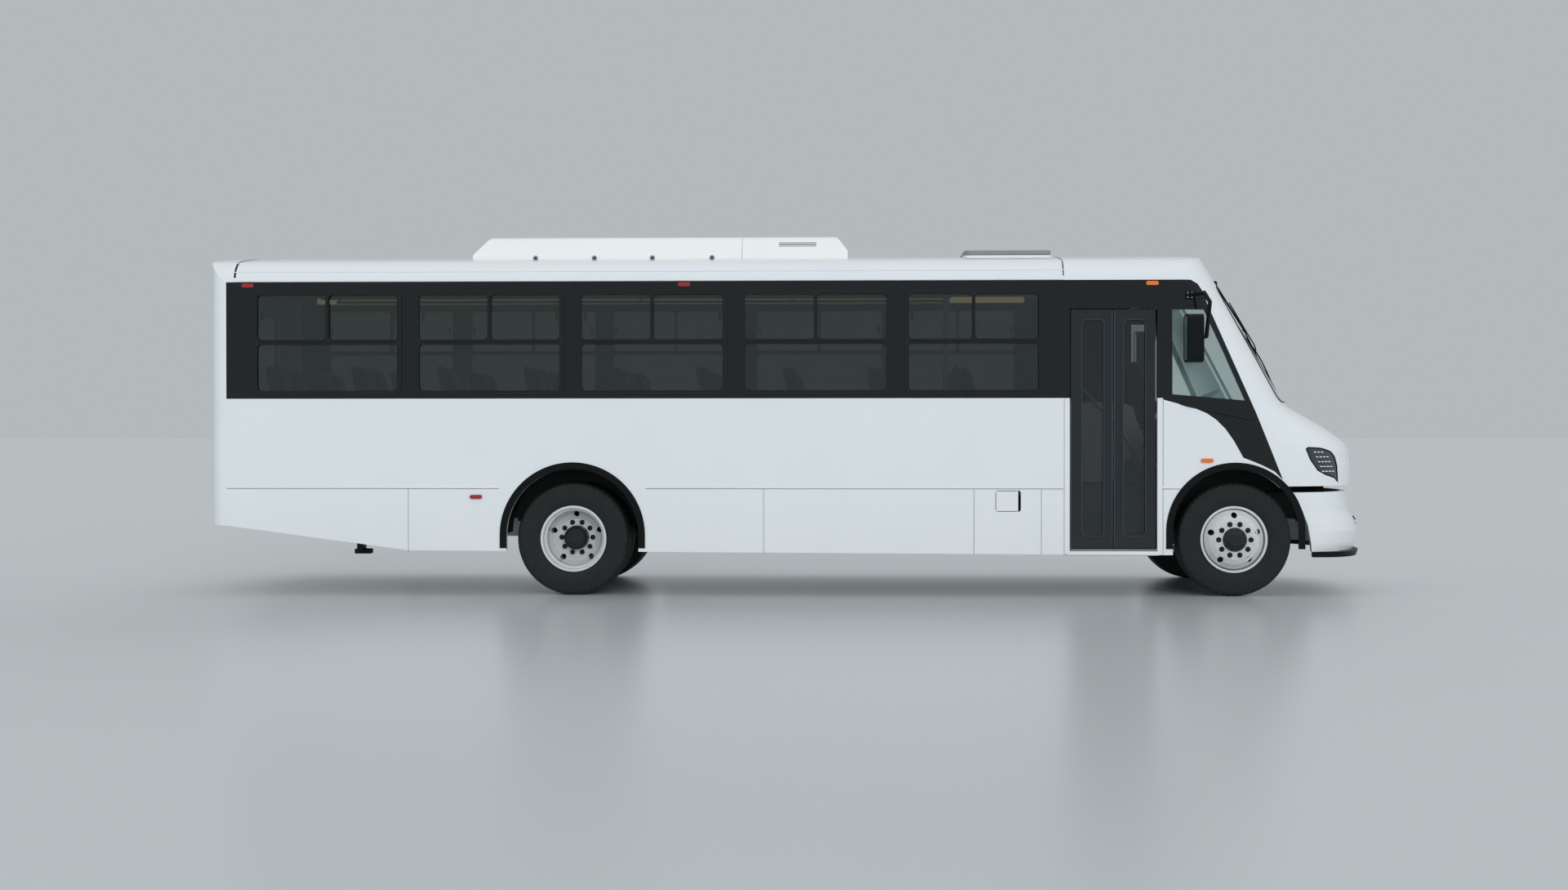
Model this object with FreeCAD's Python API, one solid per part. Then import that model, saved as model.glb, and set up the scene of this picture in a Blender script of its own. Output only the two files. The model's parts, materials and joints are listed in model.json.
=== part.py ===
import FreeCAD, Part
import math
import os

V = FreeCAD.Vector

# Overall size: X forward, Y to the left side, Z up, ground at zero
WHEELBASE = 5900.0
REAR_OVERHANG = 3330.0
FRONT_OVERHANG = 1320.0
BODY_WIDTH = 2500.0
CROWN_HEIGHT = 3100.0
CANT_HEIGHT = 2814.0
BELT_HEIGHT = 1765.0
COWL_HEIGHT = 1700.0
SKIRT_HEIGHT = 371.0
FLOOR_HEIGHT = 960.0
FRAME_TOP = 900.0
FRAME_DEPTH = 240.0
WALL = 50.0
CAP_SKIN = 30.0
FLOOR_THICKNESS = FLOOR_HEIGHT - FRAME_TOP
SEAT_GAP = 0.3
RUN_GAP = 0.05
MOVING_GAP = 7.0

# Wheels
TYRE_RADIUS = 506.0
TYRE_WIDTH = 275.0
FLANGE_RADIUS = 297.0
BEAD_RADIUS = 286.0
WELL_RADIUS = 252.0
RIM_WIDTH = 210.0
TYRE_INSET = 50.0
DUAL_SPACING = 310.0
DISC_THICKNESS = 12.0
HUB_RADIUS = 108.0
DRUM_RADIUS = 205.0
STUD_CIRCLE = 285.0
STUD_COUNT = 10
HAND_HOLES = 5
KINGPIN_Y = 860.0

# Arches, door, windows
ARCH_REAR_RADIUS = 653.0
ARCH_FRONT_RADIUS = 612.0
ARCH_TRIM = 60.0
DOOR_WIDTH = 772.0
DOOR_POST = 80.0
DOOR_SILL = 423.0
DOOR_HEAD = 2560.0
LEAF_THICKNESS = 35.0
WINDOW_COUNT = 5
WINDOW_PITCH = 1463.0
WINDOW_WIDTH = 1340.0
WINDOW_BOTTOM = 1800.0
WINDOW_TOP = 2732.0
WINDOW_RAIL = 2273.0
FRAME_BAR = 32.0

# Derived stations
LENGTH = REAR_OVERHANG + WHEELBASE + FRONT_OVERHANG
HALF = BODY_WIDTH / 2
INNER = HALF - WALL
REAR_X = -LENGTH / 2
RX = REAR_X + REAR_OVERHANG
FX = RX + WHEELBASE
NOSE_X = LENGTH / 2
REAR_SEAM = REAR_X + 204.0
REAR_ROOF_SEAM = REAR_X + 257.0
DOOR_FRONT = FX - ARCH_FRONT_RADIUS - DOOR_POST
DOOR_REAR = DOOR_FRONT - DOOR_WIDTH
CAP_SEAM = DOOR_FRONT + 54.0
ROOF_SEAM = DOOR_REAR - 45.0
AXLE_HEIGHT = TYRE_RADIUS
WHEEL_Y = HALF - TYRE_INSET - TYRE_WIDTH / 2
WHEEL_OFFSET = DUAL_SPACING / 2
FRAME_BOTTOM = FRAME_TOP - FRAME_DEPTH
RAIL_Y = 430.0
RAIL_WIDTH = 70.0
RAIL_OUT = RAIL_Y + RAIL_WIDTH / 2
RAIL_IN = RAIL_Y - RAIL_WIDTH / 2
BOX_INNER = RAIL_OUT + 125.0
BOX_TOP = FLOOR_HEIGHT + 190.0
LINER = 8.0
SIDES = (("right", -1), ("left", 1))


def block(x0, x1, y0, y1, z0, z1):
    low = V(min(x0, x1), min(y0, y1), min(z0, z1))
    return Part.makeBox(abs(x1 - x0), abs(y1 - y0), abs(z1 - z0), low)


def tube_between(start, end, radius):
    axis = end.sub(start)
    return Part.makeCylinder(radius, axis.Length, start, axis)


def rounded_wire(points, radius):
    count = len(points)
    radii = list(radius) if isinstance(radius, (list, tuple)) else [radius] * count
    edges = []
    ends = []
    for i, corner in enumerate(points):
        before = points[i - 1].sub(corner)
        after = points[(i + 1) % count].sub(corner)
        before.normalize()
        after.normalize()
        angle = before.getAngle(after)
        if radii[i] <= 0 or angle > math.pi - 1e-3:
            ends.append((corner, corner, None))
            continue
        reach = radii[i] / math.tan(angle / 2)
        middle = before.add(after)
        middle.normalize()
        depth = radii[i] / math.sin(angle / 2) - radii[i]
        ends.append((corner.add(before.multiply(reach)), corner.add(after.multiply(reach)),
                     corner.add(middle.multiply(depth))))
    for i, (start, end, middle) in enumerate(ends):
        if middle is not None:
            edges.append(Part.Arc(start, middle, end).toShape())
        following = ends[(i + 1) % count][0]
        if end.distanceToPoint(following) > 1e-6:
            edges.append(Part.makeLine(end, following))
    return Part.Wire(edges)


def prism_y(points, y0, y1, radius=0):
    wire = rounded_wire([V(x, min(y0, y1), z) for x, z in points], radius)
    return Part.Face(wire).extrude(V(0, abs(y1 - y0), 0))


def prism_x(points, x0, x1, radius=0):
    wire = rounded_wire([V(min(x0, x1), y, z) for y, z in points], radius)
    return Part.Face(wire).extrude(V(abs(x1 - x0), 0, 0))


def prism_z(points, z0, z1, radius=0):
    wire = rounded_wire([V(x, y, min(z0, z1)) for x, y in points], radius)
    return Part.Face(wire).extrude(V(0, 0, abs(z1 - z0)))


def fuse_all(shapes):
    result = shapes[0]
    for shape in shapes[1:]:
        result = result.fuse(shape)
    return result.removeSplitter()


def cut_all(base, tools):
    for tool in tools:
        base = base.cut(tool)
    return base


def mirrored(shape):
    return shape.mirror(V(0, 0, 0), V(0, 1, 0))


def both_sides(shape):
    return [shape, mirrored(shape)]


def hinge(axis, centre, length, radius, pin):
    """Sleeve, lugs with their pin, and the room each needs, along one hinge line."""
    def barrel(a, b, r):
        return Part.makeCylinder(r, b - a, centre.add(V(axis).multiply(a)), axis)
    inner, outer = length / 4, length / 2
    sleeve = barrel(-inner, inner, radius).cut(barrel(-outer, outer, pin + RUN_GAP))
    lugs = fuse_all([barrel(-outer, -inner - 1.0, radius), barrel(inner + 1.0, outer, radius), barrel(-outer, outer, pin)])
    sleeve_room = barrel(-inner - 1.0, inner + 1.0, radius + HINGE_ROOM)
    lug_room = barrel(-outer - HINGE_ROOM, -inner, radius + HINGE_ROOM).fuse(barrel(inner, outer + HINGE_ROOM, radius + HINGE_ROOM))
    return sleeve, lugs, sleeve_room, lug_room


HINGE_ROOM = 3.0
HINGE_LENGTH = 120.0
HINGE_RADIUS = 9.0
HINGE_PIN = 4.0


def save(name, shapes):
    shapes = shapes if isinstance(shapes, list) else [shapes]
    solids = []
    for shape in shapes:
        solids.extend(shape.Solids)
    body = solids[0] if len(solids) == 1 else Part.makeCompound(solids)
    body.exportStep("parts/" + name + ".step")


# Outer form of the body
def roof_section(inset, low):
    half = HALF - inset
    cant = CANT_HEIGHT
    shoulder = V(0, half * 0.86, CANT_HEIGHT + (CROWN_HEIGHT - CANT_HEIGHT) * 0.69 - inset)
    crown = V(0, 0, CROWN_HEIGHT - inset)
    side = V(0, half, cant)
    mid = V(0, half * 0.965, CANT_HEIGHT + (CROWN_HEIGHT - CANT_HEIGHT) * 0.43 - inset * 0.7)
    mirror = lambda p: V(0, -p.y, p.z)
    edges = [
        Part.makeLine(V(0, -half, low), V(0, half, low)),
        Part.makeLine(V(0, half, low), side),
        Part.Arc(side, mid, shoulder).toShape(),
        Part.Arc(shoulder, crown, mirror(shoulder)).toShape(),
        Part.Arc(mirror(shoulder), mirror(mid), mirror(side)).toShape(),
        Part.makeLine(mirror(side), V(0, -half, low)),
    ]
    return Part.Face(Part.Wire(edges))


def roof_prism(inset, low, x0, x1):
    face = roof_section(inset, low)
    face.translate(V(x0, 0, 0))
    return face.extrude(V(x1 - x0, 0, 0))


# Plan curve of the front end: how far its two handles reach, as shares of the taper and half width
PLAN_HANDLE_SHARES = (0.60, 0.75)


def plan_wire(z, x_back, x_start, x_front, half):
    along, across = PLAN_HANDLE_SHARES
    edges = [Part.makeLine(V(x_back, -half, z), V(x_start, -half, z))]
    poles = [V(x_start, -half, z), V(x_start + along * (x_front - x_start), -half, z),
             V(x_front, -half * across, z), V(x_front, 0, z)]
    for run in (poles, [V(p.x, -p.y, p.z) for p in reversed(poles)]):
        curve = Part.BezierCurve()
        curve.setPoles(run)
        edges.append(curve.toShape())
    edges.append(Part.makeLine(V(x_start, half, z), V(x_back, half, z)))
    edges.append(Part.makeLine(V(x_back, half, z), V(x_back, -half, z)))
    return Part.Wire(edges)


SCREEN_SLOPE = 0.59
SCREEN_BASE = FX + 630.0
SIDE_TAPER = FX + 50.0
SIDE_SLOPE = 0.5
SCREEN_TOP = CROWN_HEIGHT + 50.0


def cab_form(inset, x_back=None):
    wires = []
    if x_back is None:
        x_back = SIDE_TAPER - SIDE_SLOPE * (SCREEN_TOP - COWL_HEIGHT) - WALL * 4
    for z in (COWL_HEIGHT - 60.0 - inset, SCREEN_TOP + inset):
        rise = z - COWL_HEIGHT
        wires.append(plan_wire(z, x_back, SIDE_TAPER - SIDE_SLOPE * rise - inset,
                               SCREEN_BASE - SCREEN_SLOPE * rise - inset * 1.16, HALF - inset))
    return Part.makeLoft(wires, True, True)


NOSE_FRONT = NOSE_X - 62.0
NOSE_LOW = 940.0
# Height of each level as a share of nose height, and how far its front lies back
NOSE_SHARES = ((0.0, 0.0), (0.30, -0.01), (0.46, 0.02), (0.54, 0.075), (0.64, 0.22), (0.76, 0.45),
               (0.88, 0.72), (1.0, 1.0))


def nose_form(inset, x_back, low=NOSE_LOW):
    wires = []
    reach = NOSE_FRONT - SCREEN_BASE
    for height, back in NOSE_SHARES:
        z = NOSE_LOW + height * (COWL_HEIGHT - NOSE_LOW) - (inset if height > 0 else 0)
        z = low if height == 0 else z
        front = NOSE_FRONT - back * reach
        wires.append(plan_wire(z, x_back, SIDE_TAPER - inset, front - inset, HALF - inset))
    return Part.makeLoft(wires, True, True)


def lower_form(inset, x_back, low):
    return Part.Face(plan_wire(low, x_back, SIDE_TAPER - inset, NOSE_FRONT - inset,
                               HALF - inset)).extrude(V(0, 0, NOSE_LOW - low))


def roof_front_form(inset):
    x_end = SCREEN_BASE
    nose = SCREEN_BASE - SCREEN_SLOPE * (CROWN_HEIGHT - COWL_HEIGHT)
    limit = prism_y([(ROOF_SEAM, COWL_HEIGHT), (x_end, COWL_HEIGHT), (x_end, CANT_HEIGHT + 60.0),
                     (nose + 60.0 - inset, CANT_HEIGHT + 75.0 - inset), (nose - 130.0, CROWN_HEIGHT - 15.0 - inset),
                     (nose - 500.0, CROWN_HEIGHT - inset), (ROOF_SEAM, CROWN_HEIGHT - inset)],
                    -HALF, HALF, [0, 0, 0, 40.0, 300.0, 0, 0])
    return roof_prism(inset, COWL_HEIGHT, ROOF_SEAM - 1.0, x_end).common(limit)


def arch_profile(x, z_centre, radius, low):
    return [(x - radius, low), (x - radius, z_centre), (x, z_centre + radius), (x + radius, z_centre),
            (x + radius, low)]


def arch_prism(x, z_centre, radius, low, y0, y1):
    upper = Part.makeCylinder(radius, abs(y1 - y0), V(x, min(y0, y1), z_centre), V(0, 1, 0))
    upper = upper.cut(block(x - radius - 1.0, x + radius + 1.0, y0, y1, z_centre - radius - 1.0, z_centre))
    lower = block(x - radius, x + radius, y0, y1, low, z_centre)
    return upper.fuse(lower).removeSplitter()


ARCH_REAR_Z = 541.0
ARCH_FRONT_Z = 580.0
ARCHES = ((RX, ARCH_REAR_Z, ARCH_REAR_RADIUS), (FX, ARCH_FRONT_Z, ARCH_FRONT_RADIUS))


def arch_cutters(inset, y0, y1):
    return [arch_prism(x, z, radius - inset, 0.0, y0, y1) for x, z, radius in ARCHES]


def skirt_profile(x0, x1, top):
    slope_end = REAR_SEAM + 1648.0
    return [(x0, 625.0), (slope_end, 404.0), (x1, SKIRT_HEIGHT), (x1, top), (x0, top)]


def window_spans():
    spans = []
    start = DOOR_REAR - 1463.0
    for i in range(WINDOW_COUNT):
        x0 = start - (WINDOW_COUNT - 1 - i) * WINDOW_PITCH
        width = WINDOW_WIDTH if i < WINDOW_COUNT - 1 else DOOR_REAR - 239.0 - x0
        spans.append((x0, x0 + width))
    return spans


def rect(x0, x1, z0, z1):
    return [(x0, z0), (x1, z0), (x1, z1), (x0, z1)]


def door_cutter(side):
    return block(DOOR_REAR, DOOR_FRONT, side * (INNER - 5.0), side * (HALF + 5.0), 0.0, DOOR_HEAD)


FUEL_X0 = DOOR_REAR - 657.0
FUEL_X1 = FUEL_X0 + 225.0
FUEL_Z0 = 755.0
FUEL_Z1 = 943.0


# Side walls from skirt to belt, with arches, doorway and filler opening
def side_wall(side):
    y0, y1 = side * INNER, side * HALF
    wall = prism_y(skirt_profile(REAR_SEAM + SEAT_GAP, CAP_SEAM - SEAT_GAP, BELT_HEIGHT), y0, y1)
    wall = cut_all(wall, arch_cutters(ARCH_TRIM, y0, y1))
    if side < 0:
        wall = wall.cut(door_cutter(side))
        wall = wall.cut(prism_y(rect(FUEL_X0, FUEL_X1, FUEL_Z0, FUEL_Z1), y0, y1, 22.0))
        wall = wall.cut(flap_pin(FLAP_PIN + RUN_GAP, 8.0))
    return wall


def window_band(side):
    y0, y1 = side * INNER, side * HALF
    band = block(REAR_SEAM + SEAT_GAP, CAP_SEAM - SEAT_GAP, y0, y1, BELT_HEIGHT, CANT_HEIGHT)
    for x0, x1 in window_spans():
        band = band.cut(prism_y(rect(x0, x1, WINDOW_BOTTOM, WINDOW_TOP), y0, y1, 70.0))
    if side < 0:
        band = band.cut(door_cutter(side))
        for x in (LEAF_PIN_REAR, LEAF_PIN_FRONT):
            band = band.cut(Part.makeCylinder(PIN_RADIUS + RUN_GAP, 30.0, V(x, -LEAF_Y, DOOR_HEAD - 1.0)))
    return band


def window_frames(side):
    frames = []
    y_in, y_out = side * INNER, side * (HALF + 7.0)
    for x0, x1 in window_spans():
        gap = SEAT_GAP
        outer = prism_y(rect(x0 + gap, x1 - gap, WINDOW_BOTTOM + gap, WINDOW_TOP - gap), y_in, y_out, 70.0 - gap)
        low = prism_y(rect(x0 + FRAME_BAR, x1 - FRAME_BAR, WINDOW_BOTTOM + FRAME_BAR,
                           WINDOW_RAIL - FRAME_BAR / 2), y_in, y_out, 45.0)
        frame = outer.cut(low)
        middle = (x0 + x1) / 2
        for a, b in ((x0 + FRAME_BAR, middle - 9.0), (middle + 9.0, x1 - FRAME_BAR)):
            frame = frame.cut(prism_y(rect(a, b, WINDOW_RAIL + FRAME_BAR / 2, WINDOW_TOP - FRAME_BAR),
                                      y_in, y_out, 40.0))
        frames.append(frame)
    return frames


PANE = 6.0


def window_panes(side):
    panes = []
    lower_y = side * (HALF - 14.0)
    for x0, x1 in window_spans():
        gap = FRAME_BAR + SEAT_GAP
        middle = (x0 + x1) / 2
        panes.append(prism_y(rect(x0 + gap, x1 - gap, WINDOW_BOTTOM + gap, WINDOW_RAIL - FRAME_BAR / 2 - SEAT_GAP),
                             lower_y, lower_y - side * PANE, 45.0 - SEAT_GAP))
        for i, (a, b) in enumerate(((x0 + gap, middle - 9.0 - SEAT_GAP), (middle + 9.0 + SEAT_GAP, x1 - gap))):
            y = side * (HALF - 12.0 - 10.0 * i)
            panes.append(prism_y(rect(a, b, WINDOW_RAIL + FRAME_BAR / 2 + SEAT_GAP, WINDOW_TOP - gap),
                                 y, y - side * PANE, 40.0 - SEAT_GAP))
    return panes


def roof_shell():
    outer = roof_prism(0.0, CANT_HEIGHT - 50.0, REAR_ROOF_SEAM, ROOF_SEAM - SEAT_GAP)
    outer = outer.cut(block(REAR_X, NOSE_X, -HALF - 5.0, HALF + 5.0, 0.0, CANT_HEIGHT + SEAT_GAP))
    inner = roof_prism(WALL, CANT_HEIGHT - 10.0, REAR_ROOF_SEAM - 1.0, ROOF_SEAM + 1.0)
    shell = outer.cut(inner)
    return shell.cut(hatch_opening())


def hatch_bores():
    z = CROWN_HEIGHT + 12.0 + MOVING_GAP / 2
    return [Part.makeCylinder(HINGE_PIN + RUN_GAP, HINGE_LENGTH, V(HATCH_X1, y - HINGE_LENGTH / 2, z), V(0, 1, 0))
            for y in (-HATCH_HALF * 0.55, HATCH_HALF * 0.55)]


def hatch_hinges():
    z = CROWN_HEIGHT + 12.0 + MOVING_GAP / 2
    return [hinge(V(0, 1, 0), V(HATCH_X1, y, z), HINGE_LENGTH, HINGE_RADIUS, HINGE_PIN)
            for y in (-HATCH_HALF * 0.55, HATCH_HALF * 0.55)]


HATCH_X0 = DOOR_REAR - 881.0
HATCH_X1 = DOOR_REAR - 75.0
HATCH_HALF = 400.0
HATCH_RIM = 30.0


def hatch_opening():
    return prism_z([(HATCH_X0 + 40.0, -HATCH_HALF + 40.0), (HATCH_X1 - 40.0, -HATCH_HALF + 40.0),
                    (HATCH_X1 - 40.0, HATCH_HALF - 40.0), (HATCH_X0 + 40.0, HATCH_HALF - 40.0)],
                   CANT_HEIGHT, CROWN_HEIGHT + 100.0, 40.0)


def hatch_rim():
    grow = 10.0
    ring = prism_z([(HATCH_X0 - grow, -HATCH_HALF - grow), (HATCH_X1 + grow, -HATCH_HALF - grow),
                    (HATCH_X1 + grow, HATCH_HALF + grow), (HATCH_X0 - grow, HATCH_HALF + grow)],
                   CANT_HEIGHT, CROWN_HEIGHT + 12.0, 60.0).cut(hatch_opening())
    for sleeve, lugs, sleeve_room, lug_room in hatch_hinges():
        ring = ring.cut(sleeve_room).fuse(lugs)
    return ring.cut(roof_prism(-SEAT_GAP, 0.0, HATCH_X0 - 50.0, HATCH_X1 + 50.0))


def roof_hatch():
    z0 = CROWN_HEIGHT + 12.0 + MOVING_GAP
    lid = prism_z([(HATCH_X0, -HATCH_HALF), (HATCH_X1, -HATCH_HALF), (HATCH_X1, HATCH_HALF),
                   (HATCH_X0, HATCH_HALF)], z0, z0 + 38.0, 60.0)
    boss = prism_z([(HATCH_X0 + 220.0, -180.0), (HATCH_X1 - 220.0, -180.0), (HATCH_X1 - 220.0, 180.0),
                    (HATCH_X0 + 220.0, 180.0)], z0 + 38.0, z0 + 52.0, 40.0)
    lid = lid.fuse(boss)
    for sleeve, lugs, sleeve_room, lug_room in hatch_hinges():
        lid = lid.cut(lug_room).fuse(sleeve)
    for tool in hatch_bores():
        lid = lid.cut(tool)
    return lid


def rear_plan(inset, x_back):
    half = HALF - inset
    corner = 150.0 - inset
    bulge = 40.0
    right = [V(REAR_SEAM + 0.0, -half, 0), V(REAR_X + bulge + corner, -half, 0)]
    edges = [
        Part.makeLine(V(x_back, half, 0), V(x_back, -half, 0)),
        Part.makeLine(V(x_back, -half, 0), right[1]),
    ]
    start = right[1]
    corner_mid = V(REAR_X + bulge + inset + corner * 0.293, -half + corner * 0.293, 0)
    corner_end = V(REAR_X + bulge + inset, -half + corner, 0)
    edges[1] = Part.makeLine(V(x_back, -half, 0), V(REAR_X + bulge + inset + corner, -half, 0))
    start = V(REAR_X + bulge + inset + corner, -half, 0)
    edges.append(Part.Arc(start, corner_mid, corner_end).toShape())
    centre = V(REAR_X + inset, 0, 0)
    edges.append(Part.Arc(corner_end, centre, V(corner_end.x, -corner_end.y, 0)).toShape())
    edges.append(Part.Arc(V(corner_end.x, -corner_end.y, 0), V(corner_mid.x, -corner_mid.y, 0),
                          V(start.x, -start.y, 0)).toShape())
    edges.append(Part.makeLine(V(start.x, -start.y, 0), V(x_back, half, 0)))
    return Part.Wire(edges)


REAR_LOW = 625.0
REAR_BUMPER_TOP = 978.0


def rear_form(inset, low):
    plan = Part.Face(rear_plan(inset, REAR_ROOF_SEAM - SEAT_GAP)).extrude(V(0, 0, CROWN_HEIGHT + 50.0))
    arch = roof_prism(inset, low, REAR_X - 5.0, REAR_ROOF_SEAM + 5.0)
    limit = prism_y([(REAR_X - 5.0, low), (REAR_SEAM + 200.0, low), (REAR_SEAM + 200.0, CROWN_HEIGHT + 5.0 - inset),
                     (REAR_X + 10.0 + inset, CROWN_HEIGHT - 20.0 - inset)], -HALF, HALF, [0, 0, 0, 110.0])
    return plan.common(arch).common(limit)


def rear_shell():
    shell = rear_form(0.0, REAR_LOW).cut(rear_form(WALL, 0.0))
    return shell.cut(block(REAR_SEAM, REAR_SEAM + 500.0, -HALF - 5.0, HALF + 5.0, 0.0, CANT_HEIGHT + SEAT_GAP))


REAR_GLASS_HALF = 880.0
REAR_GLASS_Z0 = 1830.0
REAR_GLASS_Z1 = 2620.0
LAMP_Y0 = 985.0
LAMP_Y1 = 1095.0
LAMP_Z0 = 1080.0
LAMP_Z1 = 1560.0


def rear_window_prism(inset):
    return prism_x([(-REAR_GLASS_HALF + inset, REAR_GLASS_Z0 + inset), (REAR_GLASS_HALF - inset, REAR_GLASS_Z0 + inset),
                    (REAR_GLASS_HALF - inset, REAR_GLASS_Z1 - inset), (-REAR_GLASS_HALF + inset, REAR_GLASS_Z1 - inset)],
                   REAR_X - 20.0, REAR_SEAM - 20.0, 90.0 - inset)


def tail_lamp_prisms(inset):
    lamp = prism_x([(-LAMP_Y1 + inset, LAMP_Z0 + inset), (-LAMP_Y0 - inset, LAMP_Z0 + inset),
                    (-LAMP_Y0 - inset, LAMP_Z1 - inset), (-LAMP_Y1 + inset, LAMP_Z1 - inset)],
                   REAR_X - 20.0, REAR_SEAM - 20.0, 30.0 - inset)
    return both_sides(lamp)


def rear_cap():
    shell = rear_shell().cut(block(REAR_X - 5.0, REAR_SEAM + 5.0, -HALF - 5.0, HALF + 5.0, 0.0, REAR_BUMPER_TOP + 2.0))
    shell = shell.cut(rear_window_prism(0.0))
    return cut_all(shell, tail_lamp_prisms(0.0))


def rear_bumper():
    keep = block(REAR_X - 5.0, REAR_SEAM + 5.0, -HALF - 5.0, HALF + 5.0, 0.0, REAR_BUMPER_TOP + 1.7)
    return rear_shell().common(keep)


def rear_window():
    sheet = rear_form(8.0, REAR_LOW).cut(rear_form(16.0, 0.0))
    return sheet.common(rear_window_prism(SEAT_GAP))


def tail_lamps():
    sheet = rear_form(-6.0, REAR_LOW).cut(rear_form(WALL, 0.0))
    return [sheet.common(prism) for prism in tail_lamp_prisms(SEAT_GAP)]


# Front end
def front_solid(inset, x_back):
    low = SKIRT_HEIGHT if inset <= 0 else 0.0
    cab = cab_form(inset).common(roof_prism(inset, COWL_HEIGHT - 60.0, x_back, SCREEN_BASE + 100.0))
    nose = nose_form(inset, x_back)
    lower = lower_form(inset, x_back, low)
    return cab.fuse(nose).fuse(lower)


def front_shell():
    outer = front_solid(0.0, CAP_SEAM + SEAT_GAP)
    inner = front_solid(CAP_SKIN, CAP_SEAM - 20.0)
    shell = outer.cut(inner)
    shell = shell.cut(block(CAP_SEAM - 5.0, NOSE_X + 50.0, -HALF - 5.0, HALF + 5.0, CANT_HEIGHT, CROWN_HEIGHT + 60.0))
    for x, z, radius in ARCHES[1:]:
        shell = shell.cut(arch_prism(x, z, radius - ARCH_TRIM, 0.0, -HALF - 5.0, HALF + 5.0))
    front_bay = FX + 395.0
    return shell.cut(block(front_bay, NOSE_X + 50.0, -HALF - 5.0, HALF + 5.0, 0.0, NOSE_LOW + 40.0))


# Black panel outline on the cab side, as offsets from the front axle and heights
def mask_points():
    ahead = [(-391.0, 2813.0), (-328.0, 2778.0), (-272.0, 2695.0), (-245.0, 2598.0), (183.0, 1629.0),
             (425.0, 1035.0), (349.0, 1111.0), (239.0, 1166.0), (157.0, 1200.0), (67.0, 1235.0), (33.0, 1297.0),
             (-22.0, 1394.0), (-91.0, 1491.0), (-174.0, 1574.0), (-256.0, 1629.0), (-353.0, 1671.0),
             (-477.0, 1706.0), (-601.0, 1740.0)]
    points = [(FX + x, z) for x, z in ahead]
    return points + [(CAP_SEAM - 5.0, BELT_HEIGHT - 12.0), (CAP_SEAM - 5.0, CANT_HEIGHT + 5.0),
                     (FX - 391.0, CANT_HEIGHT + 5.0)]


def quarter_points():
    return [(FX - 560.0, 2551.0), (FX - 275.0, 2549.0), (FX + 85.0, 1742.0), (FX - 558.0, 1798.0)]


def side_prisms(points, inner_y, radius=0):
    return both_sides(prism_y(points, -HALF - 10.0, -inner_y, radius))


def offset_points(points, distance):
    wire = Part.Wire([Part.makeLine(V(points[i][0], 0, points[i][1]),
                                    V(points[(i + 1) % len(points)][0], 0, points[(i + 1) % len(points)][1]))
                      for i in range(len(points))])
    return wire.makeOffset2D(distance, 2)


def quarter_prisms(inset):
    shapes = []
    wire = offset_points(quarter_points(), -inset) if inset else offset_points(quarter_points(), -0.001)
    face = Part.Face(wire)
    face.translate(V(0, -HALF - 10.0, 0))
    prism = face.extrude(V(0, HALF - 850.0, 0))
    return both_sides(prism)


def mask_prisms(inner_y=1000.0):
    return side_prisms(mask_points(), inner_y)


SCREEN_HALF = 1010.0
SCREEN_Z0 = COWL_HEIGHT + 28.0
SCREEN_Z1 = CANT_HEIGHT - 30.0


def screen_prism(inset):
    return prism_x([(-SCREEN_HALF + inset, SCREEN_Z0 + inset), (SCREEN_HALF - inset, SCREEN_Z0 + inset),
                    (SCREEN_HALF - 60.0 - inset, SCREEN_Z1 - inset), (-SCREEN_HALF + 60.0 + inset, SCREEN_Z1 - inset)],
                   FX - 300.0, FX + 900.0, 80.0 - inset)


def cab_mask(shell):
    panels = []
    for prism in mask_prisms():
        panels.append(shell.common(prism))
    return [cut_all(panel, quarter_prisms(0.0)) for panel in panels]


def cab_glass():
    sheet = cab_form(6.0).cut(cab_form(12.0))
    return [sheet.common(prism) for prism in quarter_prisms(SEAT_GAP)]


def windscreen():
    sheet = cab_form(6.0).cut(cab_form(14.0))
    return sheet.common(screen_prism(SEAT_GAP))


LID_X0 = SCREEN_BASE + 50.0
LID_GAP = 8.0
LID_HALF = 700.0
LID_LOW = 1330.0


def lid_prism(grow):
    plan = prism_z([(LID_X0 - grow, -LID_HALF - grow), (NOSE_X, -LID_HALF - grow),
                    (NOSE_X, LID_HALF + grow), (LID_X0 - grow, LID_HALF + grow)],
                   LID_LOW - grow, COWL_HEIGHT + 80.0, [60.0, 0, 0, 60.0])
    return plan


def head_points():
    return [(FX + 636.0, 1313.0), (FX + 662.0, 1330.0), (FX + 793.0, 1323.0), (FX + 894.0, 1293.0),
            (FX + 945.0, 1242.0), (FX + 970.0, 1162.0), (FX + 982.0, 1006.0), (FX + 934.0, 1047.0),
            (FX + 833.0, 1078.0), (FX + 753.0, 1119.0), (FX + 681.0, 1212.0)]


def head_prisms(inset):
    wire = offset_points(head_points(), -inset if inset else -0.001)
    face = Part.Face(wire)
    face.translate(V(0, -HALF - 10.0, 0))
    return both_sides(face.extrude(V(0, HALF - 590.0, 0)))


def headlamps():
    outer = nose_form(2.0, CAP_SEAM)
    inner = nose_form(CAP_SKIN + 40.0, CAP_SEAM)
    sheet = outer.cut(inner)
    return [sheet.common(prism) for prism in head_prisms(SEAT_GAP)]


GRILLE_HALF = 560.0
GRILLE_Z0 = 985.0
GRILLE_Z1 = 1270.0
SLAT_COUNT = 4


def grille_prism(inset):
    return prism_x([(-GRILLE_HALF + inset, GRILLE_Z0 + inset), (GRILLE_HALF - inset, GRILLE_Z0 + inset),
                    (GRILLE_HALF + 60.0 - inset, GRILLE_Z1 - inset), (-GRILLE_HALF - 60.0 + inset, GRILLE_Z1 - inset)],
                   FX + 700.0, NOSE_X + 50.0, 40.0 - inset)


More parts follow.
